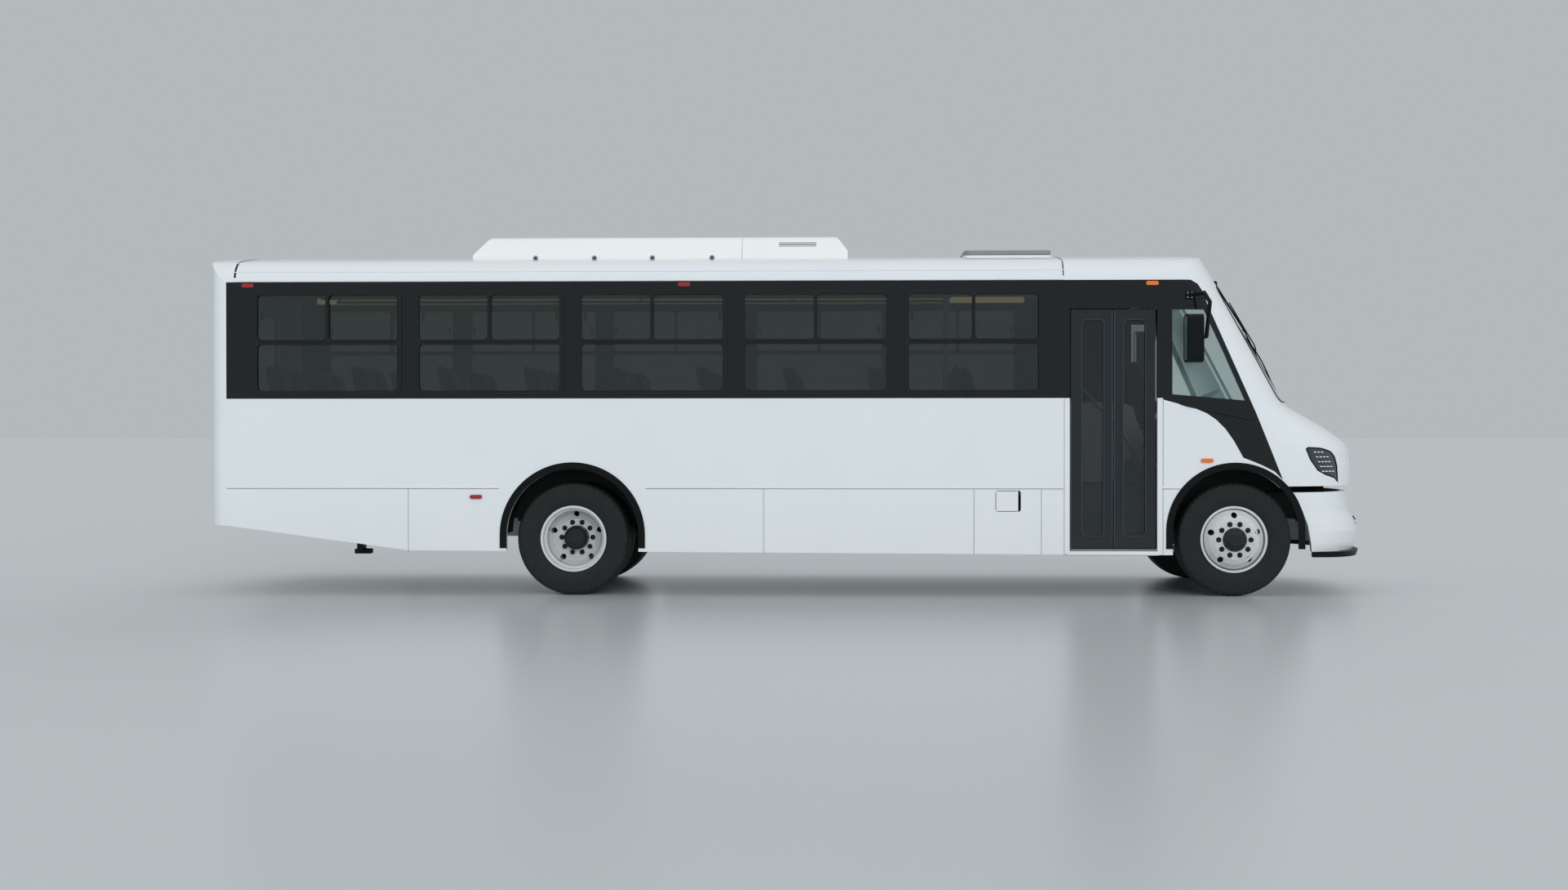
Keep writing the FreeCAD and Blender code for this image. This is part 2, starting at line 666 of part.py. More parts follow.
def grille():
    sheet = lower_and_nose(4.0).cut(lower_and_nose(CAP_SKIN))
    frame = sheet.common(grille_prism(SEAT_GAP))
    pitch = (GRILLE_Z1 - GRILLE_Z0) / SLAT_COUNT
    for i in range(SLAT_COUNT):
        z = GRILLE_Z0 + (i + 0.5) * pitch
        for y0, y1 in ((-GRILLE_HALF + 30.0, -8.0), (8.0, GRILLE_HALF - 30.0)):
            frame = frame.cut(prism_x(rect(y0, y1, z - pitch * 0.32, z + pitch * 0.32), FX + 700.0, NOSE_X + 50.0,
                                      pitch * 0.3))
    return frame


def lower_and_nose(inset):
    return nose_form(inset, CAP_SEAM)


def front_cap(shell):
    body = cut_all(shell, mask_prisms())
    body = body.cut(screen_prism(0.0))
    body = cut_all(body, head_prisms(0.0))
    body = body.cut(grille_prism(0.0))
    body = body.cut(lid_prism(0.0))
    for sleeve, lugs, sleeve_room, lug_room in bonnet_hinges(shell):
        body = body.cut(sleeve_room).fuse(lugs)
    return body


def surface_height(shape, x, y):
    line = Part.makeLine(V(x, y, COWL_HEIGHT - 500.0), V(x, y, COWL_HEIGHT + 300.0))
    return max(vertex.Z for vertex in line.common(shape).Vertexes)


def bonnet_hinges(shell):
    x = LID_X0 + LID_GAP / 2 + 1.0
    hinges = []
    for y in (-LID_HALF * 0.42, LID_HALF * 0.42):
        hinges.append(hinge(V(0, 1, 0), V(x, y, bonnet_axis_z(shell)), HINGE_LENGTH, HINGE_RADIUS, HINGE_PIN))
    return hinges


def bonnet_axis_z(shell):
    return surface_height(shell, LID_X0, LID_HALF * 0.42)


def bonnet(shell):
    lid = shell.common(lid_prism(-LID_GAP))
    for sleeve, lugs, sleeve_room, lug_room in bonnet_hinges(shell):
        lid = lid.cut(lug_room).fuse(sleeve)
    x = LID_X0 + LID_GAP / 2 + 1.0
    for y in (-LID_HALF * 0.42, LID_HALF * 0.42):
        lid = lid.cut(Part.makeCylinder(HINGE_PIN + RUN_GAP, HINGE_LENGTH, V(x, y - HINGE_LENGTH / 2, bonnet_axis_z(shell)), V(0, 1, 0)))
    return lid


BUMPER_LOW = 395.0
BUMPER_WALL = 45.0
BUMPER_TOP = 925.0
# Levels of the bumper: share of its height, and how far its front lies back from the nose
BUMPER_SHARES = ((0.0, 0.030), (0.12, 0.014), (0.33, 0.0), (0.50, 0.020), (0.68, 0.062), (1.0, 0.085))


def bumper_form(inset):
    wires = []
    for height, back in BUMPER_SHARES:
        z = BUMPER_LOW + height * (BUMPER_TOP - BUMPER_LOW)
        if inset > 0 and height == 0.0:
            z = z - 10.0
        if inset > 0 and height == 1.0:
            z = z + 10.0
        wires.append(plan_wire(z, FX - inset, SIDE_TAPER + 60.0 - inset,
                               NOSE_X - back * FRONT_OVERHANG - inset, HALF - 15.0 - inset))
    return Part.makeLoft(wires, True, True)


def front_bumper():
    shell = bumper_form(0.0).cut(bumper_form(BUMPER_WALL))
    rear_edge = [(FX - 50.0, BUMPER_TOP + 20.0), (FX + 462.0, BUMPER_TOP + 20.0), (FX + 538.0, 887.0), (FX + 608.0, 764.0),
                 (FX + 658.0, 634.0), (FX + 690.0, 469.0), (FX + 700.0, BUMPER_LOW - 20.0), (FX - 50.0, BUMPER_LOW - 20.0)]
    shell = shell.cut(prism_y(rear_edge, -HALF - 20.0, HALF + 20.0))
    mouth = prism_x([(-470.0, 520.0), (470.0, 520.0), (540.0, 690.0), (-540.0, 690.0)], FX + 800.0, NOSE_X + 20.0, 40.0)
    return shell.cut(mouth)


def bumper_lip():
    lip_wires = []
    for z, back in ((SKIRT_HEIGHT - 24.0, 0.035), (BUMPER_LOW - SEAT_GAP, 0.020)):
        lip_wires.append(plan_wire(z, FX + 705.0, FX + 720.0, NOSE_X - back * FRONT_OVERHANG, HALF - 90.0))
    inner = Part.Face(plan_wire(SKIRT_HEIGHT - 40.0, FX + 690.0, FX + 700.0, NOSE_X - 130.0, HALF - 160.0))
    return Part.makeLoft(lip_wires, True, True).cut(inner.extrude(V(0, 0, 80.0)))


def roof_front():
    x_end = SCREEN_BASE
    outer = roof_front_form(0.0).common(cab_form(0.0, ROOF_SEAM - 10.0))
    inner = roof_front_form(WALL).common(cab_form(WALL, ROOF_SEAM - 20.0))
    above = block(ROOF_SEAM, x_end, -HALF - 5.0, HALF + 5.0, CANT_HEIGHT + SEAT_GAP, CROWN_HEIGHT + 60.0)
    return outer.cut(inner).common(above)


# Arch trims and wheel boxes
def arch_trims():
    shapes = []
    for x, z, radius in ARCHES:
        outer = arch_prism(x, z, radius, 425.0, -HALF - 8.0, -HALF - SEAT_GAP)
        inner = arch_prism(x, z, radius - ARCH_TRIM - SEAT_GAP, 0.0, -HALF - 20.0, -HALF + 10.0)
        shapes += both_sides(outer.cut(inner))
    return shapes


def wheel_boxes():
    shapes = []
    for x, z, radius in ARCHES:
        outer_r = radius - SEAT_GAP
        shell = arch_prism(x, z, outer_r, FRAME_TOP, -INNER + SEAT_GAP, -BOX_INNER)
        top = block(x - outer_r, x + outer_r, -INNER - 1.0, -BOX_INNER + 1.0, BOX_TOP, BOX_TOP + 400.0)
        shell = shell.cut(top)
        hollow = arch_prism(x, z, outer_r - LINER, 0.0, -INNER - 20.0, -BOX_INNER - LINER)
        hollow = hollow.cut(block(x - outer_r, x + outer_r, -INNER - 30.0, -BOX_INNER + 1.0, BOX_TOP - LINER, BOX_TOP + 400.0))
        shell = shell.cut(hollow).cut(bumper_form(-SEAT_GAP))
        shell = shell.cut(block(x - outer_r, x + outer_r, -BOX_INNER - LINER - 1.0, -BOX_INNER + 1.0, 0.0, FRAME_TOP - 200.0))
        if x > RX:
            inner = nose_form(CAP_SKIN + SEAT_GAP, x - outer_r - 5.0)
            shell = shell.common(inner.fuse(lower_form(CAP_SKIN + SEAT_GAP, x - outer_r - 5.0, 0.0)))
        shapes += both_sides(shell)
    return shapes


STEP_COUNT = 3
STEP_RISE = (FLOOR_HEIGHT - DOOR_SILL) / STEP_COUNT
WELL_INNER = RAIL_OUT + 6.0
FIRST_STEP_Y = HALF - 18.0 - 400.0


def floor_slab():
    slab = block(REAR_SEAM + 5.0, CAP_SEAM - SEAT_GAP, -INNER + SEAT_GAP, INNER - SEAT_GAP, FRAME_TOP + SEAT_GAP, FLOOR_HEIGHT)
    for x, z, radius in ARCHES:
        for side in (-1, 1):
            slab = slab.cut(block(x - radius, x + radius, side * (BOX_INNER - SEAT_GAP), side * HALF, 0.0, 2000.0))
    return slab.cut(block(DOOR_REAR - 30.0, DOOR_FRONT + 30.0, -HALF, -WELL_INNER, 0.0, 2000.0))


def step_well():
    x0, x1 = DOOR_REAR - 30.0 + SEAT_GAP, DOOR_FRONT + 30.0 - SEAT_GAP
    depth = (FIRST_STEP_Y - WELL_INNER) / 2
    low = DOOR_SILL - 58.0
    well = block(x0, x1, -HALF + SEAT_GAP, -WELL_INNER - SEAT_GAP, low, FLOOR_HEIGHT)
    inside = [(-HALF - 10.0, DOOR_SILL), (-FIRST_STEP_Y, DOOR_SILL), (-FIRST_STEP_Y, DOOR_SILL + STEP_RISE),
              (-FIRST_STEP_Y + depth, DOOR_SILL + STEP_RISE), (-FIRST_STEP_Y + depth, DOOR_SILL + 2 * STEP_RISE),
              (-WELL_INNER - 25.0, DOOR_SILL + 2 * STEP_RISE), (-WELL_INNER - 25.0, FLOOR_HEIGHT + 5.0),
              (-HALF - 10.0, FLOOR_HEIGHT + 5.0)]
    well = well.cut(prism_x(inside, DOOR_REAR, DOOR_FRONT))
    under = [(-HALF + 60.0, low - 5.0), (-FIRST_STEP_Y + 25.0, low - 5.0), (-FIRST_STEP_Y + 25.0, DOOR_SILL + STEP_RISE - 25.0),
             (-FIRST_STEP_Y + 25.0 + depth, DOOR_SILL + STEP_RISE - 25.0),
             (-WELL_INNER + 5.0, DOOR_SILL + 2 * STEP_RISE - 25.0), (-WELL_INNER + 5.0, low - 5.0)]
    inner_under = prism_x([(-FIRST_STEP_Y + 25.0, low - 5.0), (-FIRST_STEP_Y + 25.0, DOOR_SILL + STEP_RISE - 25.0),
                           (-FIRST_STEP_Y + 25.0 + depth, DOOR_SILL + STEP_RISE - 25.0),
                           (-FIRST_STEP_Y + 25.0 + depth, DOOR_SILL + 2 * STEP_RISE - 25.0),
                           (-WELL_INNER + 5.0, DOOR_SILL + 2 * STEP_RISE - 25.0), (-WELL_INNER + 5.0, low - 5.0)],
                          x0 - 1.0, x1 + 1.0)
    well = well.cut(inner_under)
    for x_a, x_b in ((x0, DOOR_REAR), (DOOR_FRONT, x1)):
        well = well.cut(block(x_a - 1.0, x_b + 1.0, -HALF - 1.0, -INNER + SEAT_GAP, 0.0, 3000.0))
    for x in (LEAF_PIN_REAR, LEAF_PIN_FRONT):
        well = well.cut(Part.makeCylinder(PIN_RADIUS + RUN_GAP, 40.0, V(x, -LEAF_Y, DOOR_SILL - 30.0)))
    return well


def deck():
    x0, x1 = CAP_SEAM + SEAT_GAP, FX + 395.0
    slab = block(CAP_SEAM + 5.0, x1, -HALF + CAP_SKIN + 30.0, HALF - CAP_SKIN - 30.0, BOX_TOP + SEAT_GAP, BOX_TOP + 25.0)
    front = block(x1 - 25.0, x1, -HALF, HALF, FRAME_TOP, COWL_HEIGHT - 60.0)
    front = front.cut(block(x1 - 30.0, x1 + 5.0, -RAIL_IN, RAIL_IN, 0.0, BOX_TOP))
    for side in (-1, 1):
        front = front.cut(block(x1 - 30.0, x1 + 5.0, side * (BOX_INNER - SEAT_GAP), side * HALF, 0.0, BOX_TOP + SEAT_GAP))
    shelf = block(x1 - 1.0, SCREEN_BASE, -HALF, HALF, COWL_HEIGHT - 80.0, COWL_HEIGHT - 60.0)
    rear = block(CAP_SEAM + 5.0, CAP_SEAM + 30.0, -BOX_INNER, BOX_INNER, FRAME_TOP + SEAT_GAP, BOX_TOP + 25.0)
    limit = nose_form(CAP_SKIN + SEAT_GAP, CAP_SEAM - 5.0).fuse(lower_form(CAP_SKIN + SEAT_GAP, CAP_SEAM - 5.0, 0.0))
    return fuse_all([slab, front, shelf, rear]).common(limit)


JACK_STATIONS = (RX - 1500.0, FX - 1200.0)
JACK_PAD_LENGTH = 140.0
JACK_PAD_INSET = 4.0
JACK_PAD_DROP = 12.0


def chassis_frame():
    x0, x1 = REAR_X + 60.0, FX + 1130.0
    parts = []
    for side in (-1, 1):
        y0, y1 = side * RAIL_IN, side * RAIL_OUT
        rail = block(x0, x1, y0, y1, FRAME_BOTTOM, FRAME_TOP)
        pocket = block(x0 - 1.0, x1 + 1.0, side * (RAIL_IN - 1.0), side * (RAIL_OUT - 9.0), FRAME_BOTTOM + 9.0, FRAME_TOP - 9.0)
        parts.append(rail.cut(pocket))
    stations = [x0 + 20.0, RX - 900.0, RX + 900.0, RX + 2200.0, FX - 1600.0, x1 - 80.0]
    for x in stations:
        parts.append(block(x, x + 60.0, -RAIL_OUT + 9.0, RAIL_OUT - 9.0, FRAME_BOTTOM + 60.0, FRAME_TOP - 60.0))
    for x in JACK_STATIONS:
        for side in (-1, 1):
            parts.append(block(x - JACK_PAD_LENGTH / 2, x + JACK_PAD_LENGTH / 2, side * (RAIL_IN + JACK_PAD_INSET),
                               side * (RAIL_OUT - JACK_PAD_INSET), FRAME_BOTTOM - JACK_PAD_DROP, FRAME_BOTTOM))
    start, end = shaft_line()
    frame = fuse_all(parts).cut(tube_between(start, end, SHAFT_RADIUS + 30.0))
    frame = frame.cut(bumper_form(-SEAT_GAP).cut(bumper_form(BUMPER_WALL + SEAT_GAP)))
    return max(frame.Solids, key=lambda solid: solid.Volume)


SHAFT_RADIUS = 45.0


def shaft_line():
    return (V(FX - 800.0 - SEAT_GAP, 0, FRAME_BOTTOM + 130.0), V(RX + 260.0 + SEAT_GAP, 0, AXLE_HEIGHT + 5.0))


LEAF_Y = HALF - 32.5
PIN_RADIUS = 11.0
LEAF_EDGE = 12.0
PIN_IN = 32.0
LEAF_PIN_REAR = DOOR_REAR + PIN_IN
LEAF_PIN_FRONT = DOOR_FRONT - PIN_IN
DOOR_MIDDLE = (DOOR_REAR + DOOR_FRONT) / 2


def door_leaf(x0, x1, pin_x):
    y0, y1 = -LEAF_Y - LEAF_THICKNESS / 2, -LEAF_Y + LEAF_THICKNESS / 2
    z0, z1 = DOOR_SILL + MOVING_GAP, DOOR_HEAD - MOVING_GAP
    leaf = prism_y(rect(x0, x1, z0, z1), y0, y1)
    gx0, gx1, gz0, gz1 = leaf_window(x0, x1)
    leaf = leaf.cut(prism_y(rect(gx0, gx1, gz0, gz1), y0, y1, 20.0))
    for a, b in ((DOOR_SILL - 22.0, z0 + 2.0), (z1 - 2.0, DOOR_HEAD + 22.0)):
        leaf = leaf.fuse(Part.makeCylinder(PIN_RADIUS, b - a, V(pin_x, -LEAF_Y, a)))
    return leaf


def leaf_window(x0, x1):
    middle = (x0 + x1) / 2
    return middle - 97.0, middle + 97.0, DOOR_SILL + 116.0, DOOR_HEAD - 101.0


def leaf_spans():
    return ((DOOR_REAR + LEAF_EDGE, DOOR_MIDDLE - 3.5, LEAF_PIN_REAR),
            (DOOR_MIDDLE + 3.5, DOOR_FRONT - LEAF_EDGE, LEAF_PIN_FRONT))


def leaf_glass(x0, x1):
    gx0, gx1, gz0, gz1 = leaf_window(x0, x1)
    gap = SEAT_GAP
    return prism_y(rect(gx0 + gap, gx1 - gap, gz0 + gap, gz1 - gap), -LEAF_Y - 3.0, -LEAF_Y + 3.0, 20.0 - gap)


def door_header():
    band = block(DOOR_REAR - 20.0, DOOR_FRONT + 20.0, -INNER + SEAT_GAP, -INNER + 60.0, DOOR_HEAD, CANT_HEIGHT - 1.0)
    return band


def revolve_y(points, x, y, z, side):
    moved = [V(x, y + side * s, z + r) for s, r in points]
    wire = Part.makePolygon(moved + [moved[0]])
    return Part.Face(wire).revolve(V(x, y, z), V(0, 1, 0), 360)


def tyre(x, y):
    half = TYRE_WIDTH / 2
    outer = [(-RIM_WIDTH / 2 + 3.0, BEAD_RADIUS + SEAT_GAP), (-RIM_WIDTH / 2 + 3.0, FLANGE_RADIUS + 3.0), (-half * 0.93, 345.0), (-half, 405.0),
             (-half * 0.955, 460.0), (-half * 0.84, TYRE_RADIUS - 12.0), (-half * 0.72, TYRE_RADIUS),
             (half * 0.72, TYRE_RADIUS), (half * 0.84, TYRE_RADIUS - 12.0), (half * 0.955, 460.0), (half, 405.0),
             (half * 0.93, 345.0), (RIM_WIDTH / 2 - 3.0, FLANGE_RADIUS + 3.0), (RIM_WIDTH / 2 - 3.0, BEAD_RADIUS + SEAT_GAP),
             (RIM_WIDTH / 2 - 30.0, BEAD_RADIUS + SEAT_GAP), (RIM_WIDTH / 2 - 30.0, 310.0), (half - 24.0, 405.0),
             (half * 0.78, TYRE_RADIUS - 34.0), (-half * 0.78, TYRE_RADIUS - 34.0), (-half + 24.0, 405.0),
             (-RIM_WIDTH / 2 + 30.0, 310.0), (-RIM_WIDTH / 2 + 30.0, BEAD_RADIUS + SEAT_GAP)]
    return revolve_y(outer, x, y, AXLE_HEIGHT, 1)


def rim_points(side):
    half = RIM_WIDTH / 2
    return [(-half - 12.0, FLANGE_RADIUS), (-half, FLANGE_RADIUS), (-half + 2.5, BEAD_RADIUS), (-half + 62.0, BEAD_RADIUS - 4.0),
            (-half + 72.0, WELL_RADIUS + 8.0), (half - 72.0, WELL_RADIUS + 8.0), (half - 62.0, BEAD_RADIUS - 4.0), (half - 2.5, BEAD_RADIUS),
            (half, FLANGE_RADIUS), (half + 12.0, FLANGE_RADIUS), (half + 10.0, BEAD_RADIUS - 9.0), (half - 58.0, BEAD_RADIUS - 14.0),
            (half - 66.0, WELL_RADIUS), (-half + 66.0, WELL_RADIUS), (-half + 58.0, BEAD_RADIUS - 14.0), (-half - 10.0, BEAD_RADIUS - 9.0)]


def disc_points():
    face = WHEEL_OFFSET
    t = DISC_THICKNESS
    inner = HUB_RADIUS + SEAT_GAP
    return [(face, inner), (face, 178.0), (face - 22.0, 222.0), (face - 62.0, WELL_RADIUS + 12.0), (RIM_WIDTH / 2 - 66.0 - t, WELL_RADIUS + 1.0),
            (RIM_WIDTH / 2 - 66.0 - 2 * t, WELL_RADIUS + 1.0), (face - 76.0, WELL_RADIUS - 4.0), (face - 36.0, 214.0), (face - t, 172.0),
            (face - t, inner)]


def wheel(x, y, side):
    rim = revolve_y(rim_points(side), x, y, AXLE_HEIGHT, side)
    disc = revolve_y(disc_points(), x, y, AXLE_HEIGHT, side)
    body = rim.fuse(disc)
    for i in range(HAND_HOLES):
        angle = 2 * math.pi * i / HAND_HOLES + 0.33
        centre = V(x + 216.0 * math.cos(angle), y + side * (WHEEL_OFFSET + 20.0), AXLE_HEIGHT + 216.0 * math.sin(angle))
        hole = Part.makeCylinder(26.0, 130.0, centre, V(0, -side, 0))
        body = body.cut(hole)
    return body


def hub(x, y, side):
    face = WHEEL_OFFSET
    points = [(face + 45.0, 0.0), (face + 45.0, 55.0), (face + 30.0, 80.0), (face + 26.0, HUB_RADIUS - 12.0), (face + 2.0, HUB_RADIUS - 2.0),
              (face - DISC_THICKNESS - SEAT_GAP, HUB_RADIUS - 2.0), (face - DISC_THICKNESS - SEAT_GAP, 165.0), (face - 40.0, 165.0),
              (face - 60.0, DRUM_RADIUS), (-60.0, DRUM_RADIUS), (-60.0, DRUM_RADIUS - 15.0), (face - 75.0, DRUM_RADIUS - 20.0),
              (face - 75.0, 70.0), (-40.0, 70.0), (-40.0, SPINDLE_RADIUS + RUN_GAP), (face + 10.0, SPINDLE_RADIUS + RUN_GAP), (face + 10.0, 0.0)]
    body = revolve_y(points, x, y, AXLE_HEIGHT, side)
    return body


SPINDLE_RADIUS = 42.0


def studs(x, y, side):
    shapes = []
    for i in range(STUD_COUNT):
        angle = 2 * math.pi * i / STUD_COUNT
        centre = V(x + STUD_CIRCLE / 2 * math.cos(angle), y + side * (WHEEL_OFFSET + SEAT_GAP), AXLE_HEIGHT + STUD_CIRCLE / 2 * math.sin(angle))
        shapes.append(Part.makeCylinder(15.0, 24.0, centre, V(0, side, 0)))
    return shapes


BEAM_HALF = 55.0
LUG = 40.0


def front_axle():
    beam = block(FX - 45.0, FX + 45.0, -KINGPIN_Y, KINGPIN_Y, AXLE_HEIGHT - BEAM_HALF, AXLE_HEIGHT + BEAM_HALF)
    web_cut = [block(FX + s * 12.0, FX + s * 60.0, -KINGPIN_Y + 130.0, KINGPIN_Y - 130.0, AXLE_HEIGHT - BEAM_HALF + 22.0,
                     AXLE_HEIGHT + BEAM_HALF - 22.0) for s in (-1, 1)]
    beam = cut_all(beam, web_cut)
    for side in (-1, 1):
        beam = beam.fuse(Part.makeCylinder(45.0, 2 * BEAM_HALF, V(FX, side * KINGPIN_Y, AXLE_HEIGHT - BEAM_HALF)))
        beam = beam.fuse(Part.makeCylinder(19.0, 2 * (BEAM_HALF + LUG), V(FX, side * KINGPIN_Y, AXLE_HEIGHT - BEAM_HALF - LUG)))
    return beam


ARM_BACK = 230.0
ROD_Z = AXLE_HEIGHT - BEAM_HALF - LUG - 34.0


def knuckle(side):
    y = side * KINGPIN_Y
    parts = []
    low = AXLE_HEIGHT - BEAM_HALF
    high = AXLE_HEIGHT + BEAM_HALF
    for z0, z1 in ((low - LUG, low - 2.0), (high + 2.0, high + LUG)):
        lug = Part.makeCylinder(44.0, z1 - z0, V(FX, y, z0)).fuse(block(FX - 44.0, FX + 44.0, y, side * (KINGPIN_Y + 90.0), z0, z1))
        parts.append(lug)
    parts.append(block(FX - 44.0, FX + 44.0, side * (KINGPIN_Y + 54.0), side * (KINGPIN_Y + 90.0), low - LUG, high + LUG))
    parts.append(Part.makeCylinder(185.0, 10.0, V(FX, side * (KINGPIN_Y + 80.0) if side > 0 else -(KINGPIN_Y + 90.0), AXLE_HEIGHT), V(0, 1, 0)))
    spindle_end = WHEEL_Y + WHEEL_OFFSET + 8.0
    start = V(FX, side * (KINGPIN_Y + 85.0), AXLE_HEIGHT)
    parts.append(Part.makeCylinder(SPINDLE_RADIUS, spindle_end - KINGPIN_Y - 85.0, start, V(0, side, 0)))
    arm = block(FX - ARM_BACK, FX - 20.0, y - 22.0, y + 22.0, low - LUG, low - LUG + 24.0)
    parts.append(arm)
    parts.append(Part.makeCylinder(32.0, 24.0, V(FX - ARM_BACK, y, low - LUG)))
    body = fuse_all(parts)
    body = body.cut(Part.makeCylinder(19.0 + RUN_GAP, 400.0, V(FX, y, low - LUG - 50.0)))
    return body.cut(Part.makeCylinder(11.0 + RUN_GAP, 100.0, V(FX - ARM_BACK, y, low - LUG - 50.0)))


def tie_rod():
    parts = [Part.makeCylinder(18.0, 2 * KINGPIN_Y, V(FX - ARM_BACK, -KINGPIN_Y, ROD_Z), V(0, 1, 0))]
    for side in (-1, 1):
        parts.append(Part.makeCylinder(28.0, 48.0, V(FX - ARM_BACK, side * KINGPIN_Y, ROD_Z - 24.0)))
        radius = 11.0 if side < 0 else 10.7
        parts.append(Part.makeCylinder(radius, 80.0, V(FX - ARM_BACK, side * KINGPIN_Y, ROD_Z)))
    return fuse_all(parts)


def rear_axle():
    tube = Part.makeCylinder(62.0, 2 * (WHEEL_Y - DUAL_SPACING - 130.0), V(RX, -(WHEEL_Y - DUAL_SPACING - 130.0), AXLE_HEIGHT), V(0, 1, 0))
    spindle = Part.makeCylinder(SPINDLE_RADIUS, 2 * (WHEEL_Y - DUAL_SPACING + WHEEL_OFFSET + 8.0),
                                V(RX, -(WHEEL_Y - DUAL_SPACING + WHEEL_OFFSET + 8.0), AXLE_HEIGHT), V(0, 1, 0))
    bowl = Part.makeSphere(190.0, V(RX, 0, AXLE_HEIGHT)).common(block(RX - 200.0, RX + 200.0, -130.0, 130.0, 0.0, 1000.0))
    nose = Part.makeCylinder(70.0, 260.0, V(RX, 0, AXLE_HEIGHT), V(1, 0, 0))
    return fuse_all([tube, spindle, bowl, nose])


def rear_hub(side):
    y = side * (WHEEL_Y - WHEEL_OFFSET)
    t = DISC_THICKNESS
    out = t + SEAT_GAP
    points = [(out + 130.0, 0.0), (out + 130.0, HUB_RADIUS - 30.0), (out + 105.0, HUB_RADIUS - 2.0), (-out, HUB_RADIUS - 2.0), (-out, 165.0),
              (-40.0, 165.0), (-60.0, DRUM_RADIUS), (-250.0, DRUM_RADIUS), (-250.0, DRUM_RADIUS - 15.0), (-75.0, DRUM_RADIUS - 20.0),
              (-75.0, 70.0), (-200.0, 70.0), (-200.0, SPINDLE_RADIUS + RUN_GAP), (10.0, SPINDLE_RADIUS + RUN_GAP), (10.0, 0.0)]
    return revolve_y(points, RX, y, AXLE_HEIGHT, side)


def leaf_spring(x, drop):
    z_mid = AXLE_HEIGHT + drop + SEAT_GAP
    ends = FRAME_BOTTOM - SEAT_GAP
    span = 620.0
    points = [(x - span, ends), (x - span, ends - 26.0), (x - 90.0, z_mid), (x + 90.0, z_mid), (x + span, ends - 26.0), (x + span, ends),
              (x + 150.0, z_mid + 48.0), (x - 150.0, z_mid + 48.0)]
    return both_sides(prism_y(points, -RAIL_Y - 40.0, -RAIL_Y + 40.0))


def engine():
    block_shape = prism_x([(-300.0, FRAME_BOTTOM + 40.0), (300.0, FRAME_BOTTOM + 40.0), (300.0, 1010.0), (180.0, BOX_TOP - 20.0), (-180.0, BOX_TOP - 20.0),
                           (-300.0, 1010.0)], FX - 150.0, FX + 760.0, 25.0)
    gearbox = prism_x([(-210.0, FRAME_BOTTOM + 40.0), (210.0, FRAME_BOTTOM + 40.0), (210.0, 850.0), (-210.0, 850.0)], FX - 800.0, FX - 145.0, 60.0)
    mounts = [block(x, x + 80.0, -RAIL_OUT + 9.0 + SEAT_GAP, RAIL_OUT - 9.0 - SEAT_GAP, FRAME_BOTTOM + 100.0, FRAME_BOTTOM + 150.0) for x in (FX + 100.0, FX - 600.0)]
    return fuse_all([block_shape, gearbox] + mounts)


def prop_shaft():
    start, end = shaft_line()
    shaft = tube_between(start.add(V(-60.0, 0, 0)), end.add(V(60.0, 0, 0)), SHAFT_RADIUS)
    front = Part.makeCylinder(60.0, 90.0, start.add(V(-90.0, 0, 0)), V(1, 0, 0))
    rear = Part.makeCylinder(60.0, 90.0, end, V(1, 0, 0))
    return fuse_all([shaft, front, rear])


def radiator():
    return block(FX + 900.0, FX + 980.0, -RAIL_IN + SEAT_GAP, RAIL_IN - SEAT_GAP, FRAME_BOTTOM - 60.0, 1230.0)


def fuel_tank():
    tank = prism_x([(-1120.0, 470.0), (-RAIL_OUT - 70.0, 470.0), (-RAIL_OUT - 70.0, 850.0), (-1120.0, 850.0)], FUEL_X0 - 900.0, FUEL_X0 + 350.0, 60.0)
    brackets = [block(x, x + 60.0, -RAIL_OUT - 75.0, -RAIL_OUT - SEAT_GAP, 600.0, FRAME_TOP - 20.0) for x in (FUEL_X0 - 750.0, FUEL_X0 + 150.0)]
    neck = Part.makeCylinder(34.0, 150.0, V((FUEL_X0 + FUEL_X1) / 2, -INNER + 15.0, (FUEL_Z0 + FUEL_Z1) / 2), V(0, 1, -0.35))
    return fuse_all([tank, neck] + brackets)


FLAP_GAP = 5.5
FLAP_THICKNESS = 14.0
FLAP_PIN = 4.0


def flap_pin(radius, reach):
    x = FUEL_X1 - 30.0
    return Part.makeCylinder(radius, FUEL_Z1 - FUEL_Z0 + 2 * reach, V(x, -HALF + FLAP_THICKNESS / 2, FUEL_Z0 - reach))


def fuel_flap():
    gap = FLAP_GAP
    x1 = FUEL_X1 - 24.0
    flap = prism_y(rect(FUEL_X0 + gap, x1, FUEL_Z0 + gap, FUEL_Z1 - gap), -HALF, -HALF + FLAP_THICKNESS, 5.0)
    return flap.fuse(flap_pin(FLAP_PIN, 6.0))


def seat_benches():
    shapes = []
    pitch = 780.0
    first = REAR_SEAM + 420.0
    rows = 9
    z = FLOOR_HEIGHT + SEAT_GAP
    for side in (-1, 1):
        for i in range(rows):
            x = first + i * pitch
            if x + 450.0 > DOOR_REAR and side < 0:
                continue
            profile = [(x + 20.0, z + 380.0), (x + 430.0, z + 400.0), (x + 440.0, z + 480.0), (x + 130.0, z + 470.0),
                       (x - 20.0, z + 1140.0), (x - 95.0, z + 1140.0), (x - 70.0, z + 900.0), (x + 10.0, z + 400.0)]
            bench = prism_y(profile, side * 300.0, side * (INNER - SEAT_GAP), 20.0)
            leg = block(x + 180.0, x + 250.0, side * 330.0, side * 370.0, z, z + 395.0)
            shapes.append(bench.fuse(leg))
    return shapes


DRIVER_X = FX - 640.0


